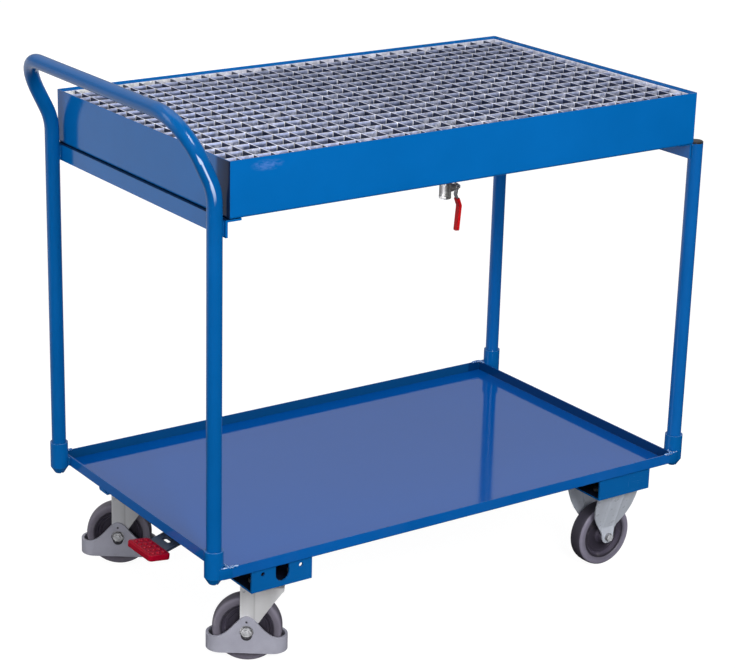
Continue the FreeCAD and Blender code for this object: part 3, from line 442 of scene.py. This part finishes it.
# ----------------------------------------------------------------- galvanised
def galvanised(name, top, side_y, side_x, deep, gap=(0.10, 0.10, 0.14),
               falloff=((0.0, 0.0), (1.0, 0.9))):
    """Dipped zinc with mottled spangle, its light and shade painted in: pale tops as a painted
    highlight, lit and shaded colours for the faces across y and x, and painted shade that
    deepens below the top.

    side_y and side_x colour the faces across y and x. Below the top the y faces go
    towards gap, the colour of the painted shade, over the depth deep, by the falloff ramp.
    """
    mat = Material(name)
    _, normal_y, normal_z = mat.facing()
    x, y, z = mat.position()
    # Painted light: pale tops, and separate lit and shaded colours for the faces across y and
    # x.
    up = mat.fade(normal_z, start=0.35, end=0.85)
    faces_y = mat.fade(mat.absolute(normal_y), start=0.45, end=0.8)
    # Painted shade, deepening below the top of the grating.
    depth = mat.drop(z, end=GRATING_TOP, span=deep)
    cells = mat.voronoi(150, "Color")
    spangle = mat.node("ShaderNodeSeparateColor", {0: cells}).outputs[0]
    cloud = mat.noise(34, detail=4, rough=0.6)
    drift = mat.noise(7, detail=3, rough=0.6)
    average = mat.mul(mat.add(spangle, cloud), 0.5)
    mottle = mat.mul(mat.lerp(average, low=0.58, high=1.42),
                     mat.lerp(drift, low=0.80, high=1.18))
    # Near parts painted lighter than far ones; near also sets where the white patches and blots
    # show.
    near = mat.drop(y, end=0.30, span=0.6)
    white = mat.fade(mat.noise(30, detail=5, rough=0.72), start=0.55, end=0.62)
    left = mat.drop(x, end=-0.02, span=0.36)

    # Painted light: the y faces lighter towards the left end.
    lit = mat.mix(left, side_y, times(side_y, 1.75))
    y_tone = mat.mix(mat.ramp(depth, falloff), lit, gap)
    x_tone = mat.mix(depth, side_x, times(side_x, 0.35))
    side = mat.mix(faces_y, x_tone, y_tone)
    blots = mat.fade(mat.noise(46, detail=4, rough=0.75), start=0.48, end=0.64)
    y_blots = mat.lerp(near, low=0.14, high=0.62)
    side = mat.tint(side, blots, (0.76, 0.77, 0.86),
                    amount=mat.lerp(faces_y, low=0.06, high=y_blots))
    tone = mat.tint(top, mat.mul(white, near), (0.96, 0.96, 0.98), amount=0.9)
    color = mat.scaled(mat.mix(up, side, tone),
                       mat.mul(mottle, mat.lerp(near, low=0.90, high=1.10)))

    grain_share, spangle_share = 0.7, 0.3
    height = mat.add(mat.mul(mat.noise(260, detail=4, rough=0.6), grain_share),
                     mat.mul(spangle, spangle_share))
    mat.set({"Base Color": color, "Roughness": mat.lerp(spangle, low=0.30, high=0.52),
             "Metallic": 0.12, "Specular IOR Level": 0.5,
             "Normal": mat.bump(height, strength=0.35, distance=0.0003, bevel=0.0006)})


galvanised("galvanised_cross_bars", top=(0.82, 0.84, 0.99), side_y=(0.30, 0.34, 0.51),
           side_x=(0.05, 0.06, 0.12), deep=0.010, gap=(0.045, 0.06, 0.115),
           falloff=((0.22, 0.0), (0.48, 0.86), (1.0, 1.0)))
galvanised("galvanised_bearing_bars", top=(0.80, 0.82, 0.97), side_y=(0.12, 0.15, 0.28),
           side_x=(0.016, 0.026, 0.075), deep=0.012, gap=(0.03, 0.04, 0.08))
galvanised("galvanised_frame", top=(0.95, 0.94, 1.0), side_y=(0.88, 0.88, 1.0),
           side_x=(0.82, 0.82, 0.94), deep=0.030)
galvanised("galvanised_node", top=(0.97, 0.97, 1.0), side_y=(0.90, 0.90, 0.96),
           side_x=(0.62, 0.63, 0.72), deep=0.012)


# --------------------------------------------------------------------- plated
def spot(mat, centre, radius):
    """1 in a round spot, seen along the cross axis of the swivel castors."""
    return mat.below(mat.radius_about(centre, (*SWIVEL_CROSS, 0.0)), radius)


def fork_spot(side):
    """Centre of the small spot of painted shade on a swivel fork, behind the guard's small
    hole.
    """
    return (-0.38196, side * WHEEL_Y + 0.01496, 0.0815)


def zinc(name, bright, rough, metal, warm=0.0, speck=0.10, bands=None, dark_spot=None,
         round_edges=0.0):
    """Plated metal. bands(mat) gives a factor that scales the tone, painting in highlights and
    shade; dark_spot is the centre of a spot of painted shade.
    """
    mat = Material(name)
    cloud = mat.noise(16, detail=4, rough=0.6, distort=0.3)
    grain = mat.noise(1.0, detail=3, rough=0.6, vector=mat.stretched((60, 60, 900)))
    value = mat.lerp(cloud, low=bright * 0.90, high=bright * 1.08)
    value = mat.mul(value, mat.lerp(grain, low=0.97, high=1.03))
    if bands:
        value = mat.mul(value, bands(mat))
    red_share, blue_share = 1.0 + warm, 1.03 - 1.6 * warm
    color = mat.node("ShaderNodeCombineColor", {
        0: mat.mul(value, red_share), 1: value, 2: mat.mul(value, blue_share)}).outputs[0]
    smear = mat.fade(mat.noise(30, detail=4, rough=0.6), start=0.50, end=0.85)
    color = mat.tint(color, smear, (bright * 0.7, bright * 0.7, bright * 0.68), amount=speck)
    roughness = mat.lerp(mat.noise(80, detail=4, rough=0.6),
                         low=rough * 0.85, high=rough * 1.2)
    # Painted shade: a near black spot behind the guard's small hole.
    if dark_spot:
        color = mat.mix(spot(mat, dark_spot, radius=0.0026), color, (0.012, 0.011, 0.012))
    mat.set({"Base Color": color, "Roughness": roughness, "Metallic": metal})
    if round_edges:
        mat.set({"Normal": mat.bevel(round_edges, samples=6)})


# Fork tones of painted highlights and shade: (place across the band from -FORK_HALF to
# +FORK_HALF of the king pin, tone).
# The swivel fork's run along its trail, the fixed fork's along x.
SWIVEL_TONES = [
    (0.00, 1.20), (0.16, 1.12), (0.26, 0.90), (0.36, 0.86), (0.50, 0.94), (0.605, 0.98),
    (0.625, 0.74), (0.65, 0.92), (0.74, 1.04), (0.84, 1.04), (0.88, 1.22), (1.0, 1.16)]
FIXED_TONES = [
    (0.00, 0.90), (0.18, 0.86), (0.31, 0.98), (0.335, 0.86), (0.375, 0.98), (0.50, 0.95),
    (0.58, 1.04), (0.63, 1.20), (0.655, 0.88), (0.70, 0.92), (0.80, 0.97), (0.90, 0.90),
    (1.0, 1.12)]
# Round nickel body, painted reflection streaks: (turn from its bright left to its dark right,
# tone)
NICKEL_TONES = [
    (0.0, 0.30), (0.12, 0.62), (0.22, 1.25), (0.28, 2.4), (0.38, 2.3), (0.46, 0.90),
    (0.58, 0.34), (0.72, 0.12), (0.85, 0.30), (1.0, 0.22)]
# Bolt head, painted highlight and shade: (how squarely the face looks along the bolt, tone)
HEAD_TONES = [(0.0, 0.30), (0.30, 0.42), (0.45, 1.45), (0.90, 1.45), (0.97, 0.84), (1.0, 0.78)]


def fork_bands(mat, offset, tones):
    place = mat.mul(mat.add(offset, FORK_HALF), 1 / (2 * FORK_HALF), clamp=True)
    return mat.ramp(place, tones)


def trail_bands(side):
    """Painted highlights and shade across the swivel fork, with a painted dark line standing
    for an upright crease.
    """
    def bands(mat):
        x, y, _ = mat.position()
        along = mat.add(mat.mul(mat.sub(x, SWIVEL_X), TRAIL_X),
                        mat.mul(mat.sub(y, WHEEL_Y * side), TRAIL_Y))
        return fork_bands(mat, along, SWIVEL_TONES)
    return bands


def rib_bands(mat):
    """Painted highlights and shade across the fixed fork: bright bands and darker flanks on its
    pressed rib.
    """
    x, _, _ = mat.position()
    return fork_bands(mat, mat.sub(x, FIXED_X), FIXED_TONES)


def nickel_bands(mat):
    """Painted reflection streaks of a polished round body under a tall window on its left, and
    painted shade on its top under the tray.
    """
    right_x, right_y = 0.8406, 0.5417   # weights of the normal that give the turn
    wobble_size, streak_shift = 0.30, 0.0
    normal_x, normal_y, _ = mat.facing()
    turn = mat.sub(mat.mul(normal_x, right_x), mat.mul(normal_y, right_y))
    wave = mat.noise(1.0, detail=2, vector=mat.stretched((60, 60, 200)))
    wobble = mat.mul(mat.sub(wave, 0.5), wobble_size)
    place = mat.mul(mat.add(mat.add(turn, wobble), 1.0), 0.5, clamp=True)
    tone = mat.ramp(mat.add(place, streak_shift), NICKEL_TONES)
    _, _, z = mat.position()
    # Painted shade on the top, under the tray.
    high = mat.rise(z, start=0.806, span=0.018)
    return mat.mul(tone, mat.lerp(high, low=1.0, high=0.16))


def head_bands(axis_x, axis_y):
    """Painted light on a bolt head: its flat face, a painted highlight on its chamfer and
    painted shade on its flanks.
    """
    def bands(mat):
        normal_x, normal_y, _ = mat.own_facing()
        square = mat.absolute(mat.add(mat.mul(normal_x, axis_x), mat.mul(normal_y, axis_y)))
        tone = mat.ramp(square, HEAD_TONES)
        blots = mat.ramp(mat.noise(190, detail=3, rough=0.6), [(0.40, 0.82), (0.62, 1.22)])
        return mat.mul(tone, blots)
    return bands


zinc("zinc_plated_steel", bright=0.70, rough=0.30, metal=0.20, warm=-0.01)
# The far swivel fork is set darker than the near one: painted shade under the deck.
for tag, side, bright, warm in (("near", -1, 0.60, 0.004), ("far", 1, 0.55, -0.008)):
    zinc("zinc_swivel_fork_" + tag, bright=bright, rough=0.32, metal=0.16, warm=warm,
         speck=0.08, bands=trail_bands(side), dark_spot=fork_spot(side))
zinc("zinc_plated_fixed", bright=0.67, rough=0.28, metal=0.20, warm=-0.060, speck=0.06,
     bands=rib_bands)
zinc("zinc_fastener", bright=0.80, rough=0.24, metal=0.25, warm=-0.01, round_edges=0.0008)
zinc("zinc_castor_pins", bright=0.80, rough=0.26, metal=0.25, warm=-0.01,
     bands=head_bands(*SWIVEL_CROSS), round_edges=0.0009)
zinc("zinc_axle_bolts", bright=0.74, rough=0.26, metal=0.25, warm=-0.02,
     bands=head_bands(0.0, 1.0), round_edges=0.0009)
# Near black: painted shade on the bolts inside the castor brackets.
zinc("zinc_fastener_inside", bright=0.05, rough=0.40, metal=0.10, warm=-0.02)
zinc("nickel_plated_brass", bright=0.80, rough=0.20, metal=0.10, warm=0.035, speck=0.25,
     bands=nickel_bands)
zinc("lever_steel", bright=0.34, rough=0.3, metal=0.5)

# --------------------------------------------------------------------- wheels
# Painted highlights and shade in rings on the tyres and hubs: (share of the wheel's radius,
# tone)
TYRE_RINGS = [(0.74, 0.56), (0.775, 0.80), (0.83, 0.98), (0.89, 1.10), (0.935, 1.28),
              (0.965, 1.34), (0.99, 1.0), (1.0, 0.9)]
HUB_RINGS = [(0.0, 1.20), (0.24, 1.50), (0.31, 0.60), (0.42, 0.74), (0.54, 0.86),
             (0.60, 1.0), (0.655, 1.9), (0.70, 0.70)]


def rubber(name, base, rough, centre, axis, rings, tread=None):
    """Dusty moulded wheel part, with painted highlights and shade in rings about its axle.
    tread is painted shade that darkens the faces that do not look along y."""
    mat = Material(name)
    drift = mat.noise(22, detail=5, rough=0.6)
    grain = mat.noise(260, detail=3, rough=0.6)
    color = mat.mix(mat.fade(drift, start=0.3, end=0.7), times(base, 0.86), times(base, 1.12))
    dust = mat.fade(mat.noise(60, detail=5, rough=0.7), start=0.55, end=0.78)
    color = mat.tint(color, dust, srgb(150, 146, 142), amount=0.22)
    # Lighter edges: a painted highlight.
    color = mat.tint(color, mat.edge(radius=0.0016, gain=2.5), times(base, 1.7), amount=0.2)
    share = mat.mul(mat.radius_about(centre, axis), 1 / WHEEL_RADIUS, clamp=True)
    color = mat.scaled(color, mat.ramp(share, rings))
    # Painted shade on the tread.
    if tread:
        tread_amount = 0.72
        _, normal_y, _ = mat.facing()
        flank = mat.fade(mat.absolute(normal_y), start=0.35, end=0.75)
        color = mat.mix(flank, mat.mix(tread_amount, color, tread), color)
    grain_share = 0.6
    height = mat.add(mat.mul(grain, grain_share), mat.noise(900, detail=2))
    mat.set({"Base Color": color, "Specular IOR Level": 0.4,
             "Roughness": mat.lerp(grain, low=rough * 0.85, high=rough * 1.15),
             "Normal": mat.bump(height, strength=0.25, distance=0.0003, bevel=0.0012)})


def swivel_axle(side):
    return SWIVEL_X + TRAIL * TRAIL_X, WHEEL_Y * side + TRAIL * TRAIL_Y


for tag, side in SIDES:
    # The fixed wheels get a dark tread colour: painted shade under the deck.
    for end, tyre, tread, (axle_x, axle_y), axis in (
            ("left_", srgb(101, 97, 109), None, swivel_axle(side), (-TRAIL_Y, TRAIL_X, 0.0)),
            ("right_", srgb(118, 114, 130), srgb(38, 35, 43), (FIXED_X, WHEEL_Y * side),
             (0.0, 1.0, 0.0))):
        centre = (axle_x, axle_y, WHEEL_RADIUS)
        rubber("grey_rubber_tyre_" + end + tag, tyre, 0.5, centre, axis, TYRE_RINGS, tread)
        rubber("dark_moulded_hub_" + end + tag, srgb(60, 56, 68), 0.36, centre, axis,
               HUB_RINGS)


# ------------------------------------------------------------------- plastics
def moulded(name, base, rough, grain, speck, spec=0.45, coat=0.0, rim=0.16, shadows=()):
    """Grained plastic. rim is how strongly a painted highlight lightens the edges; shadows are
    dark round spots of painted shadow as (centre, radius).
    """
    mat = Material(name)
    drift = mat.noise(30, detail=4, rough=0.6)
    color = mat.mix(mat.fade(drift, start=0.3, end=0.7), times(base, 0.92), times(base, 1.07))
    specks = mat.fade(mat.noise(850, detail=2), start=0.56, end=0.68)
    color = mat.tint(color, specks, times(base, 0.55), amount=speck)
    edge = mat.edge(radius=0.0014, gain=2.4)
    for centre, radius in shadows:
        color = mat.tint(color, spot(mat, centre, radius), (0.012, 0.011, 0.013), amount=0.93)
    # Painted highlight along the edges.
    color = mat.tint(color, edge, times(base, 1.5, lift=0.02), amount=rim)
    roughness = mat.lerp(mat.noise(120, detail=3, rough=0.6),
                         low=rough * 0.85, high=rough * 1.2)
    cell_share = 0.5
    height = mat.add(mat.noise(700, detail=3, rough=0.55),
                     mat.mul(mat.voronoi(1100, "Distance"), cell_share))
    mat.set({"Base Color": color, "Roughness": roughness, "Specular IOR Level": spec,
             "Normal": mat.bump(height, strength=grain, distance=0.00025, bevel=0.0012),
             "Coat Weight": coat, "Coat Roughness": 0.15})


for tag, side in SIDES:
    moulded("grey_foot_guard_" + tag, srgb(157, 157, 170), rough=0.42, grain=0.35,
            speck=0.12, rim=0.42,
            shadows=[(fork_spot(side), 0.0021), ((*swivel_axle(side), 0.0557), 0.0100)])
moulded("red_pedal_plastic", srgb(146, 0, 30), rough=0.36, grain=0.10, speck=0.03, spec=0.16)
moulded("red_lever_sleeve", srgb(196, 8, 18), rough=0.34, grain=0.12, speck=0.03, spec=0.24,
        coat=0.03)
moulded("black_cap_plastic", srgb(42, 38, 40), rough=0.42, grain=0.2, speck=0.05)
moulded("white_seat_plastic", srgb(232, 230, 224), rough=0.3, grain=0.1, speck=0.03)
blue_paint("slate_arm_coat", srgb(48, 58, 76), spec=0.45, rough=0.33, peel=0.2)

# ------------------------------------------------- materials on the CAD parts
PART_MATERIALS = {
    "catch_tray": "blue_tub_coat",
    "deck_edge_tab": "blue_powder_coat",
    "lower_deck": "blue_deck_coat",
    "handle_frame": "blue_handle_coat",
    "right_leg_near": "blue_leg_coat",
    "right_leg_far": "blue_leg_coat",
    "leg_sockets": "blue_socket_coat",
    "left_cross_angle": "blue_angle_coat",
    "right_cross_angle": "blue_powder_coat",
    "grating_ledges": "blue_powder_coat",
    "leg_end_caps": "black_cap_plastic",
    "grating_frame": "galvanised_frame",
    "bearing_bars": "galvanised_bearing_bars",
    "cross_bars": "galvanised_cross_bars",
    "pedal_arm": "slate_arm_coat",
    "pedal_tread": "red_pedal_plastic",
    "shaft_bushes": "black_cap_plastic",
    "drain_nipple": "nickel_plated_brass",
    "valve_body": "nickel_plated_brass",
    "packing_nut": "nickel_plated_brass",
    "valve_ball": "nickel_plated_brass",
    "valve_stem": "zinc_fastener",
    "valve_lever": "lever_steel",
    "lever_grip": "red_lever_sleeve",
    "lever_nut": "nickel_plated_brass",
    "valve_seats": "white_seat_plastic",
    "castor_plate_bolts": "zinc_fastener_inside",
    "fixed_axle_bolts": "zinc_axle_bolts",
    "brake_hex_shaft": "zinc_fastener",
}
# start of a part's name -> material; {part} is its name and {side} is near or far
FAMILY_MATERIALS = (
    ("tyre_", "grey_rubber_{part}"),
    ("hub_", "dark_moulded_{part}"),
    ("swivel_fork_", "zinc_swivel_fork_{side}"),
    ("foot_guard", "grey_foot_guard_{side}"),
    ("bracket_", "blue_bracket_coat"),
    ("fixed_fork", "zinc_plated_fixed"),
    ("castor_pins", "zinc_castor_pins"),
)


def part_material(part):
    if part in PART_MATERIALS:
        return MATERIALS[PART_MATERIALS[part]]
    for start, name in FAMILY_MATERIALS:
        if part.startswith(start):
            return MATERIALS[name.format(part=part, side=part.split("_")[-1])]
    return MATERIALS["zinc_plated_steel"]


def smooth(obj, angle):
    """Smooth shading, sharp at edges over angle degrees."""
    mesh = obj.data
    mesh.polygons.foreach_set("use_smooth", [True] * len(mesh.polygons))
    mesh.set_sharp_from_angle(angle=math.radians(angle))
    mesh.update()


for part, obj in NODES.items():
    obj.data.materials.clear()
    obj.data.materials.append(part_material(part))
    for polygon in obj.data.polygons:
        polygon.material_index = 0
    if obj.data.has_custom_normals:
        bpy.context.view_layer.objects.active = obj
        obj.select_set(True)
        bpy.ops.mesh.customdata_custom_splitnormals_clear()
        obj.select_set(False)
    smooth(obj, 12.0 if "_fork_" in part else 32.0)


# ---------------------------------------------------------------- mesh pieces
def make(name, verts, faces, material, body, angle):
    mesh = bpy.data.meshes.new(name)
    mesh.from_pydata([tuple(vert) for vert in verts], [], faces)
    mesh.validate()
    mesh.update()
    obj = bpy.data.objects.new(name, mesh)
    scene.collection.objects.link(obj)
    mesh.materials.append(MATERIALS[material])
    edit = bmesh.new()
    edit.from_mesh(mesh)
    bmesh.ops.recalc_face_normals(edit, faces=edit.faces)
    edit.to_mesh(mesh)
    edit.free()
    smooth(obj, angle)
    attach(obj, body)


def loft_faces(rings, count, base=0):
    """Side faces and the two caps of a stack of rings of count vertices each."""
    sides = []
    for ring in range(rings - 1):
        start = base + ring * count
        for k in range(count):
            this, after = start + k, start + (k + 1) % count
            sides.append((this, after, after + count, this + count))
    last = base + (rings - 1) * count
    caps = [tuple(base + k for k in reversed(range(count))),
            tuple(last + k for k in range(count))]
    return sides, caps


RIPPLE = 0.0026        # length of one scallop of a weld
BEAD_SIDES = 10


def weld(name, path, radius, material="blue_tube_coat"):
    """A laid bead: overlapping scallops along a path."""
    points = [Vector(point) for point in path]
    reach = [0.0]
    for start, end in zip(points, points[1:]):
        reach.append(reach[-1] + (end - start).length)
    total = reach[-1]
    steps = max(8, int(total / (RIPPLE / 5)))

    def walk(distance):
        """Point and direction at a distance along the path."""
        for i in range(len(points) - 1):
            if distance <= reach[i + 1] + 1e-12:
                share = (distance - reach[i]) / max(1e-9, reach[i + 1] - reach[i])
                return (points[i].lerp(points[i + 1], share),
                        (points[i + 1] - points[i]).normalized())
        return points[-1], (points[-1] - points[-2]).normalized()

    verts = []
    for i in range(steps + 1):
        along = i / steps
        point, direction = walk(along * total)
        phase = (along * total / RIPPLE) % 1.0
        size = radius * (0.80 + 0.26 * math.sqrt(max(0.0, 1 - (2 * phase - 1) ** 2)))
        # rounded ends, then a slight unevenness
        from_end = min(along, 1 - along) * total
        size *= min(1.0, 0.15 + 3.0 * math.sqrt(from_end / (radius * 6) + 1e-6))
        size *= 1 + 0.07 * math.sin(i * 1.7 + total * 900) + 0.05 * math.sin(i * 0.37)
        guide = Vector((0, 0, 1)) if abs(direction.z) < 0.9 else Vector((1, 0, 0))
        across = direction.cross(guide).normalized()
        over = across.cross(direction)
        for k in range(BEAD_SIDES):
            turn = 2 * math.pi * k / BEAD_SIDES
            verts.append(point + (across * math.cos(turn) + over * math.sin(turn)) * size)
    sides, caps = loft_faces(steps + 1, BEAD_SIDES)
    make(name, verts, sides + caps, material, "root", angle=60)


# Web outline at one corner: (x from CENTRE_X, y), both outward
WEB_OUTLINE = [
    (0.4940, 0.30665), (0.5000, 0.30675), (0.5050, 0.30670), (0.5100, 0.30620),
    (0.5145, 0.30500), (0.5189, 0.30345), (0.5189, 0.2960), (0.5028, 0.2960),
    (0.5012, 0.3052), (0.4940, 0.3056)]
# (z, whether the outline is drawn in there)
WEB_LEVELS = [(0.2093, True), (0.2102, False), (0.2286, False), (0.2297, True)]
WEB_CENTRE = (0.5, 0.3)
WEB_DRAW_X = 0.9985
WEB_DRAW_Y = WEB_DRAW_X - 0.05


def web(tag, out_x, out_y):
    """Plate of filler joining the deck's corner to its sleeve, flush with the rim."""
    centre_x, centre_y = WEB_CENTRE
    verts = []
    for z, drawn in WEB_LEVELS:
        for x, y in WEB_OUTLINE:
            if drawn:
                x = centre_x + (x - centre_x) * WEB_DRAW_X
                y = centre_y + (y - centre_y) * WEB_DRAW_Y
            verts.append((CENTRE_X + out_x * x, out_y * y, z))
    sides, caps = loft_faces(len(WEB_LEVELS), len(WEB_OUTLINE))
    make("weld_web_" + tag, verts, caps + sides, "blue_tube_coat", "root",
         angle=30)


# Welds at each corner: name, x they are measured from, radius, material and
# path as (x outward from there, y outward from the middle, z)
CORNER_WELDS = [
    ("socket_inner", DECK_X, 0.0031, "blue_tube_coat",
     [(0.0015, LEG_Y - 0.0088, 0.2105), (0.0015, LEG_Y - 0.0088, 0.2295)]),
    ("rim_corner", DECK_X, 0.0023, "blue_weld_coat",
     [(-0.0004, LEG_Y + 0.004, 0.2302), (-0.0006, DECK_Y - 0.0035, 0.2303),
      (-0.003, DECK_Y - 0.0008, 0.2302), (-0.010, DECK_Y - 0.0008, 0.2303),
      (-0.021, DECK_Y - 0.0010, 0.2300)]),
    ("web_top", DECK_X, 0.0015, "blue_weld_coat",
     [(-0.002, LEG_Y + 0.0185, 0.2299), (0.006, LEG_Y + 0.0182, 0.2300),
      (0.0125, LEG_Y + 0.0168, 0.2299)]),
    ("rim_seam", DECK_X, 0.0013, "blue_tube_coat",
     [(-0.0012, DECK_Y - 0.0012, 0.2098), (-0.0012, DECK_Y - 0.0012, 0.2296)]),
    ("angle", ANGLE_X, 0.0024, "blue_tube_coat",
     [(0.0012, LEG_Y - 0.0062, 0.8120), (0.0012, LEG_Y - 0.0062, 0.8385)]),
    ("angle_out", ANGLE_X, 0.0022, "blue_tube_coat",
     [(0.0012, LEG_Y + 0.0050, 0.8120), (0.0012, LEG_Y + 0.0050, 0.8385)]),
]

for end, out_x in ENDS:
    for side, out_y in SIDES:
        tag = end + "_" + side
        web(tag, out_x, out_y)
        for name, from_x, radius, material, path in CORNER_WELDS:
            origin = CENTRE_X + out_x * from_x
            weld("weld_" + name + "_" + tag,
                 [(origin + out_x * x, out_y * y, z) for x, y, z in path], radius, material)

# stitch welds along both edges of each castor bracket, under the deck
STITCH_LENGTH, STITCH_RADIUS = 0.020, 0.0016
STITCH_Z, STITCH_OFFSET = 0.2088, 0.0002


def bracket_stitches(bracket, out_y):
    low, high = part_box(bracket)
    outer, inner = (low.y, high.y) if out_y < 0 else (high.y, low.y)
    starts = (low.x + 0.010, (low.x + high.x) / 2 + 0.026, high.x - 0.030)
    for i, x in enumerate(starts):
        for letter, y in (("o", outer + out_y * STITCH_OFFSET),
                          ("i", inner - out_y * STITCH_OFFSET)):
            weld("weld_%s_%s%d" % (bracket, letter, i),
                 [(x, y, STITCH_Z), (x + STITCH_LENGTH, y, STITCH_Z)], STITCH_RADIUS)


for end, _ in ENDS:
    for side, out_y in SIDES:
        bracket_stitches("bracket_" + end + "_" + side, out_y)

BAR_PITCH = 0.033333
CROSSING_RADIUS = 0.00205
CROSSING_SIDES = 8
CROSSING_TURN = 0.39       # radians
CROSSING_JITTER = 0.0006
# (z from the top of the cross bars, share of the radius)
CROSSING_RINGS = ((-0.0105, 0.55), (-0.0085, 0.95), (-0.0010, 1.0), (0.00015, 0.72),
                  (0.00035, 0.30))


def grating_crossings():
    """Swollen zinc where the grating's bars cross."""
    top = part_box("cross_bars")[1].z
    verts, faces = [], []
    for i in range(-14, 15):
        for j in range(-8, 9):
            radius = CROSSING_RADIUS * (0.88 + 0.30 * random.random())
            x = CENTRE_X + i * BAR_PITCH + (random.random() - 0.5) * CROSSING_JITTER
            y = j * BAR_PITCH + (random.random() - 0.5) * CROSSING_JITTER
            sides, caps = loft_faces(len(CROSSING_RINGS), CROSSING_SIDES, base=len(verts))
            faces += sides + caps
            for rise, share in CROSSING_RINGS:
                for k in range(CROSSING_SIDES):
                    turn = 2 * math.pi / CROSSING_SIDES * k + CROSSING_TURN
                    verts.append((x + radius * share * math.cos(turn),
                                  y + radius * share * math.sin(turn), top + rise))
    make("grating_crossings", verts, faces, "galvanised_node", "grating",
         angle=50)


grating_crossings()


# --------------------------------------------------------------------- camera
def place_camera():
    place = Vector((-2.2225, -3.1735, 1.8108))
    azimuth, elevation, roll = (math.radians(a) for a in (-32.7873, 19.0742, 0.7202))
    back = Vector((math.sin(azimuth) * math.cos(elevation),
                   -math.cos(azimuth) * math.cos(elevation), math.sin(elevation)))
    level = (-back).cross(Vector((0, 0, 1))).normalized()
    upright = level.cross(-back)
    right = level * math.cos(roll) + upright * math.sin(roll)
    up = -level * math.sin(roll) + upright * math.cos(roll)
    data = bpy.data.cameras.new("camera")
    camera = bpy.data.objects.new("camera", data)
    scene.collection.objects.link(camera)
    turn = Matrix((right, up, back)).transposed()
    camera.matrix_world = Matrix.Translation(place) @ turn.to_4x4()
    data.sensor_width = 36.0
    data.lens = 106.689306122
    data.shift_x = 0.119047619
    data.clip_start = 0.05
    data.clip_end = 100
    scene.camera = camera


place_camera()

# -------------------------------------------------------------- stage, light
MIRRORED = (1.0, 0.985, 0.98)      # tint of the surroundings in reflections


def floor_material():
    material = bpy.data.materials.new("floor_white")
    material.use_nodes = True
    nodes = Nodes(material.node_tree)
    output = nodes.node("ShaderNodeOutputMaterial")

    def diffuse(grey):
        return nodes.node("ShaderNodeBsdfDiffuse", {0: (grey, grey, grey)}).outputs[0]

    # what the camera sees: a white sweep with a faint contact shadow
    seen = nodes.node("ShaderNodeAddShader", {
        0: diffuse(0.15),
        1: nodes.emitter("ShaderNodeEmission", (1, 1, 1), strength=0.95)}).outputs[0]
    # what mirrors see: dim on the near side and under the trolley, bright on the far side
    _, y, _ = nodes.split(nodes.node("ShaderNodeNewGeometry").outputs["Position"])
    glow = nodes.smoothstep(y, start=0.1, end=1.9, low=0.0, high=0.70)
    mirror = nodes.emitter("ShaderNodeEmission", MIRRORED, strength=glow)
    rays = nodes.node("ShaderNodeLightPath").outputs
    unseen = nodes.mix_shader(rays["Is Glossy Ray"], diffuse(0.20), mirror)
    nodes.feed(output.inputs[0], nodes.mix_shader(rays["Is Camera Ray"], unseen, seen))
    return material


bpy.ops.mesh.primitive_plane_add(size=60, location=(0, 0, -0.0005))
floor = bpy.context.active_object
floor.name = "studio_floor"
floor.data.materials.append(floor_material())


def build_world():
    """Even ambient light, a white backdrop, and reflections bright towards far and up."""
    world = bpy.data.worlds.new("studio")
    scene.world = world
    world.use_nodes = True
    nodes = Nodes(world.node_tree)
    output = nodes.node("ShaderNodeOutputWorld")
    ambient = nodes.emitter("ShaderNodeBackground", (1, 1, 1), strength=0.42)
    _, y, z = nodes.split(nodes.node("ShaderNodeTexCoord").outputs["Generated"])
    far = nodes.smoothstep(y, start=-0.35, end=0.45, low=0.02, high=0.74)
    high = nodes.smoothstep(z, start=0.28, end=0.41, low=0.52, high=0.93)
    mirror = nodes.emitter("ShaderNodeBackground", MIRRORED, strength=nodes.mul(far, high))
    rays = nodes.node("ShaderNodeLightPath").outputs
    backdrop = nodes.emitter("ShaderNodeBackground", (1, 1, 1), strength=1.0)
    unseen = nodes.mix_shader(rays["Is Glossy Ray"], ambient, mirror)
    nodes.feed(output.inputs[0], nodes.mix_shader(rays["Is Camera Ray"], unseen, backdrop))


build_world()

# name, place, aim, (width, height), watts, whether it shows in reflections
LIGHTS = [
    ("key_softbox", (-0.9, -3.8, 3.0), (0, 0, 0.6), (1.5, 1.9), 142, True),
    ("side_softbox", (-4.0, 0.6, 2.4), (0, 0, 0.5), (1.4, 2.2), 26, True),
    ("fill_softbox", (3.2, -3.2, 2.0), (0, 0, 0.5), (2.2, 2.2), 22, False),
    ("front_low", (-3.0, -3.9, 0.9), (-0.2, 0, 0.2), (2.0, 1.2), 45, False),
    ("left_fill", (-4.5, -0.3, 1.2), (0, 0, 0.5), (2.0, 1.6), 28, False),
    ("rear_fill", (0.8, 4.8, 0.8), (0, 0, 0.6), (3.0, 1.2), 70, False),
    ("end_fill", (4.8, 1.0, 0.8), (0, 0, 0.6), (2.0, 1.2), 20, False),
    ("top_softbox", (0.2, 0.2, 4.2), (0, 0, 0.5), (2.8, 2.8), 28, True),
]
for name, place, aim, (width, height), watts, glossy in LIGHTS:
    light = bpy.data.lights.new(name, "AREA")
    light.energy = watts
    light.shape = "RECTANGLE"
    light.size = width
    light.size_y = height
    obj = bpy.data.objects.new(name, light)
    scene.collection.objects.link(obj)
    obj.location = place
    obj.rotation_euler = (Vector(aim) - Vector(place)).to_track_quat("-Z", "Y").to_euler()
    obj.visible_glossy = glossy

scene.view_settings.view_transform = "Standard"
scene.view_settings.look = "None"
scene.view_settings.exposure = 0.0
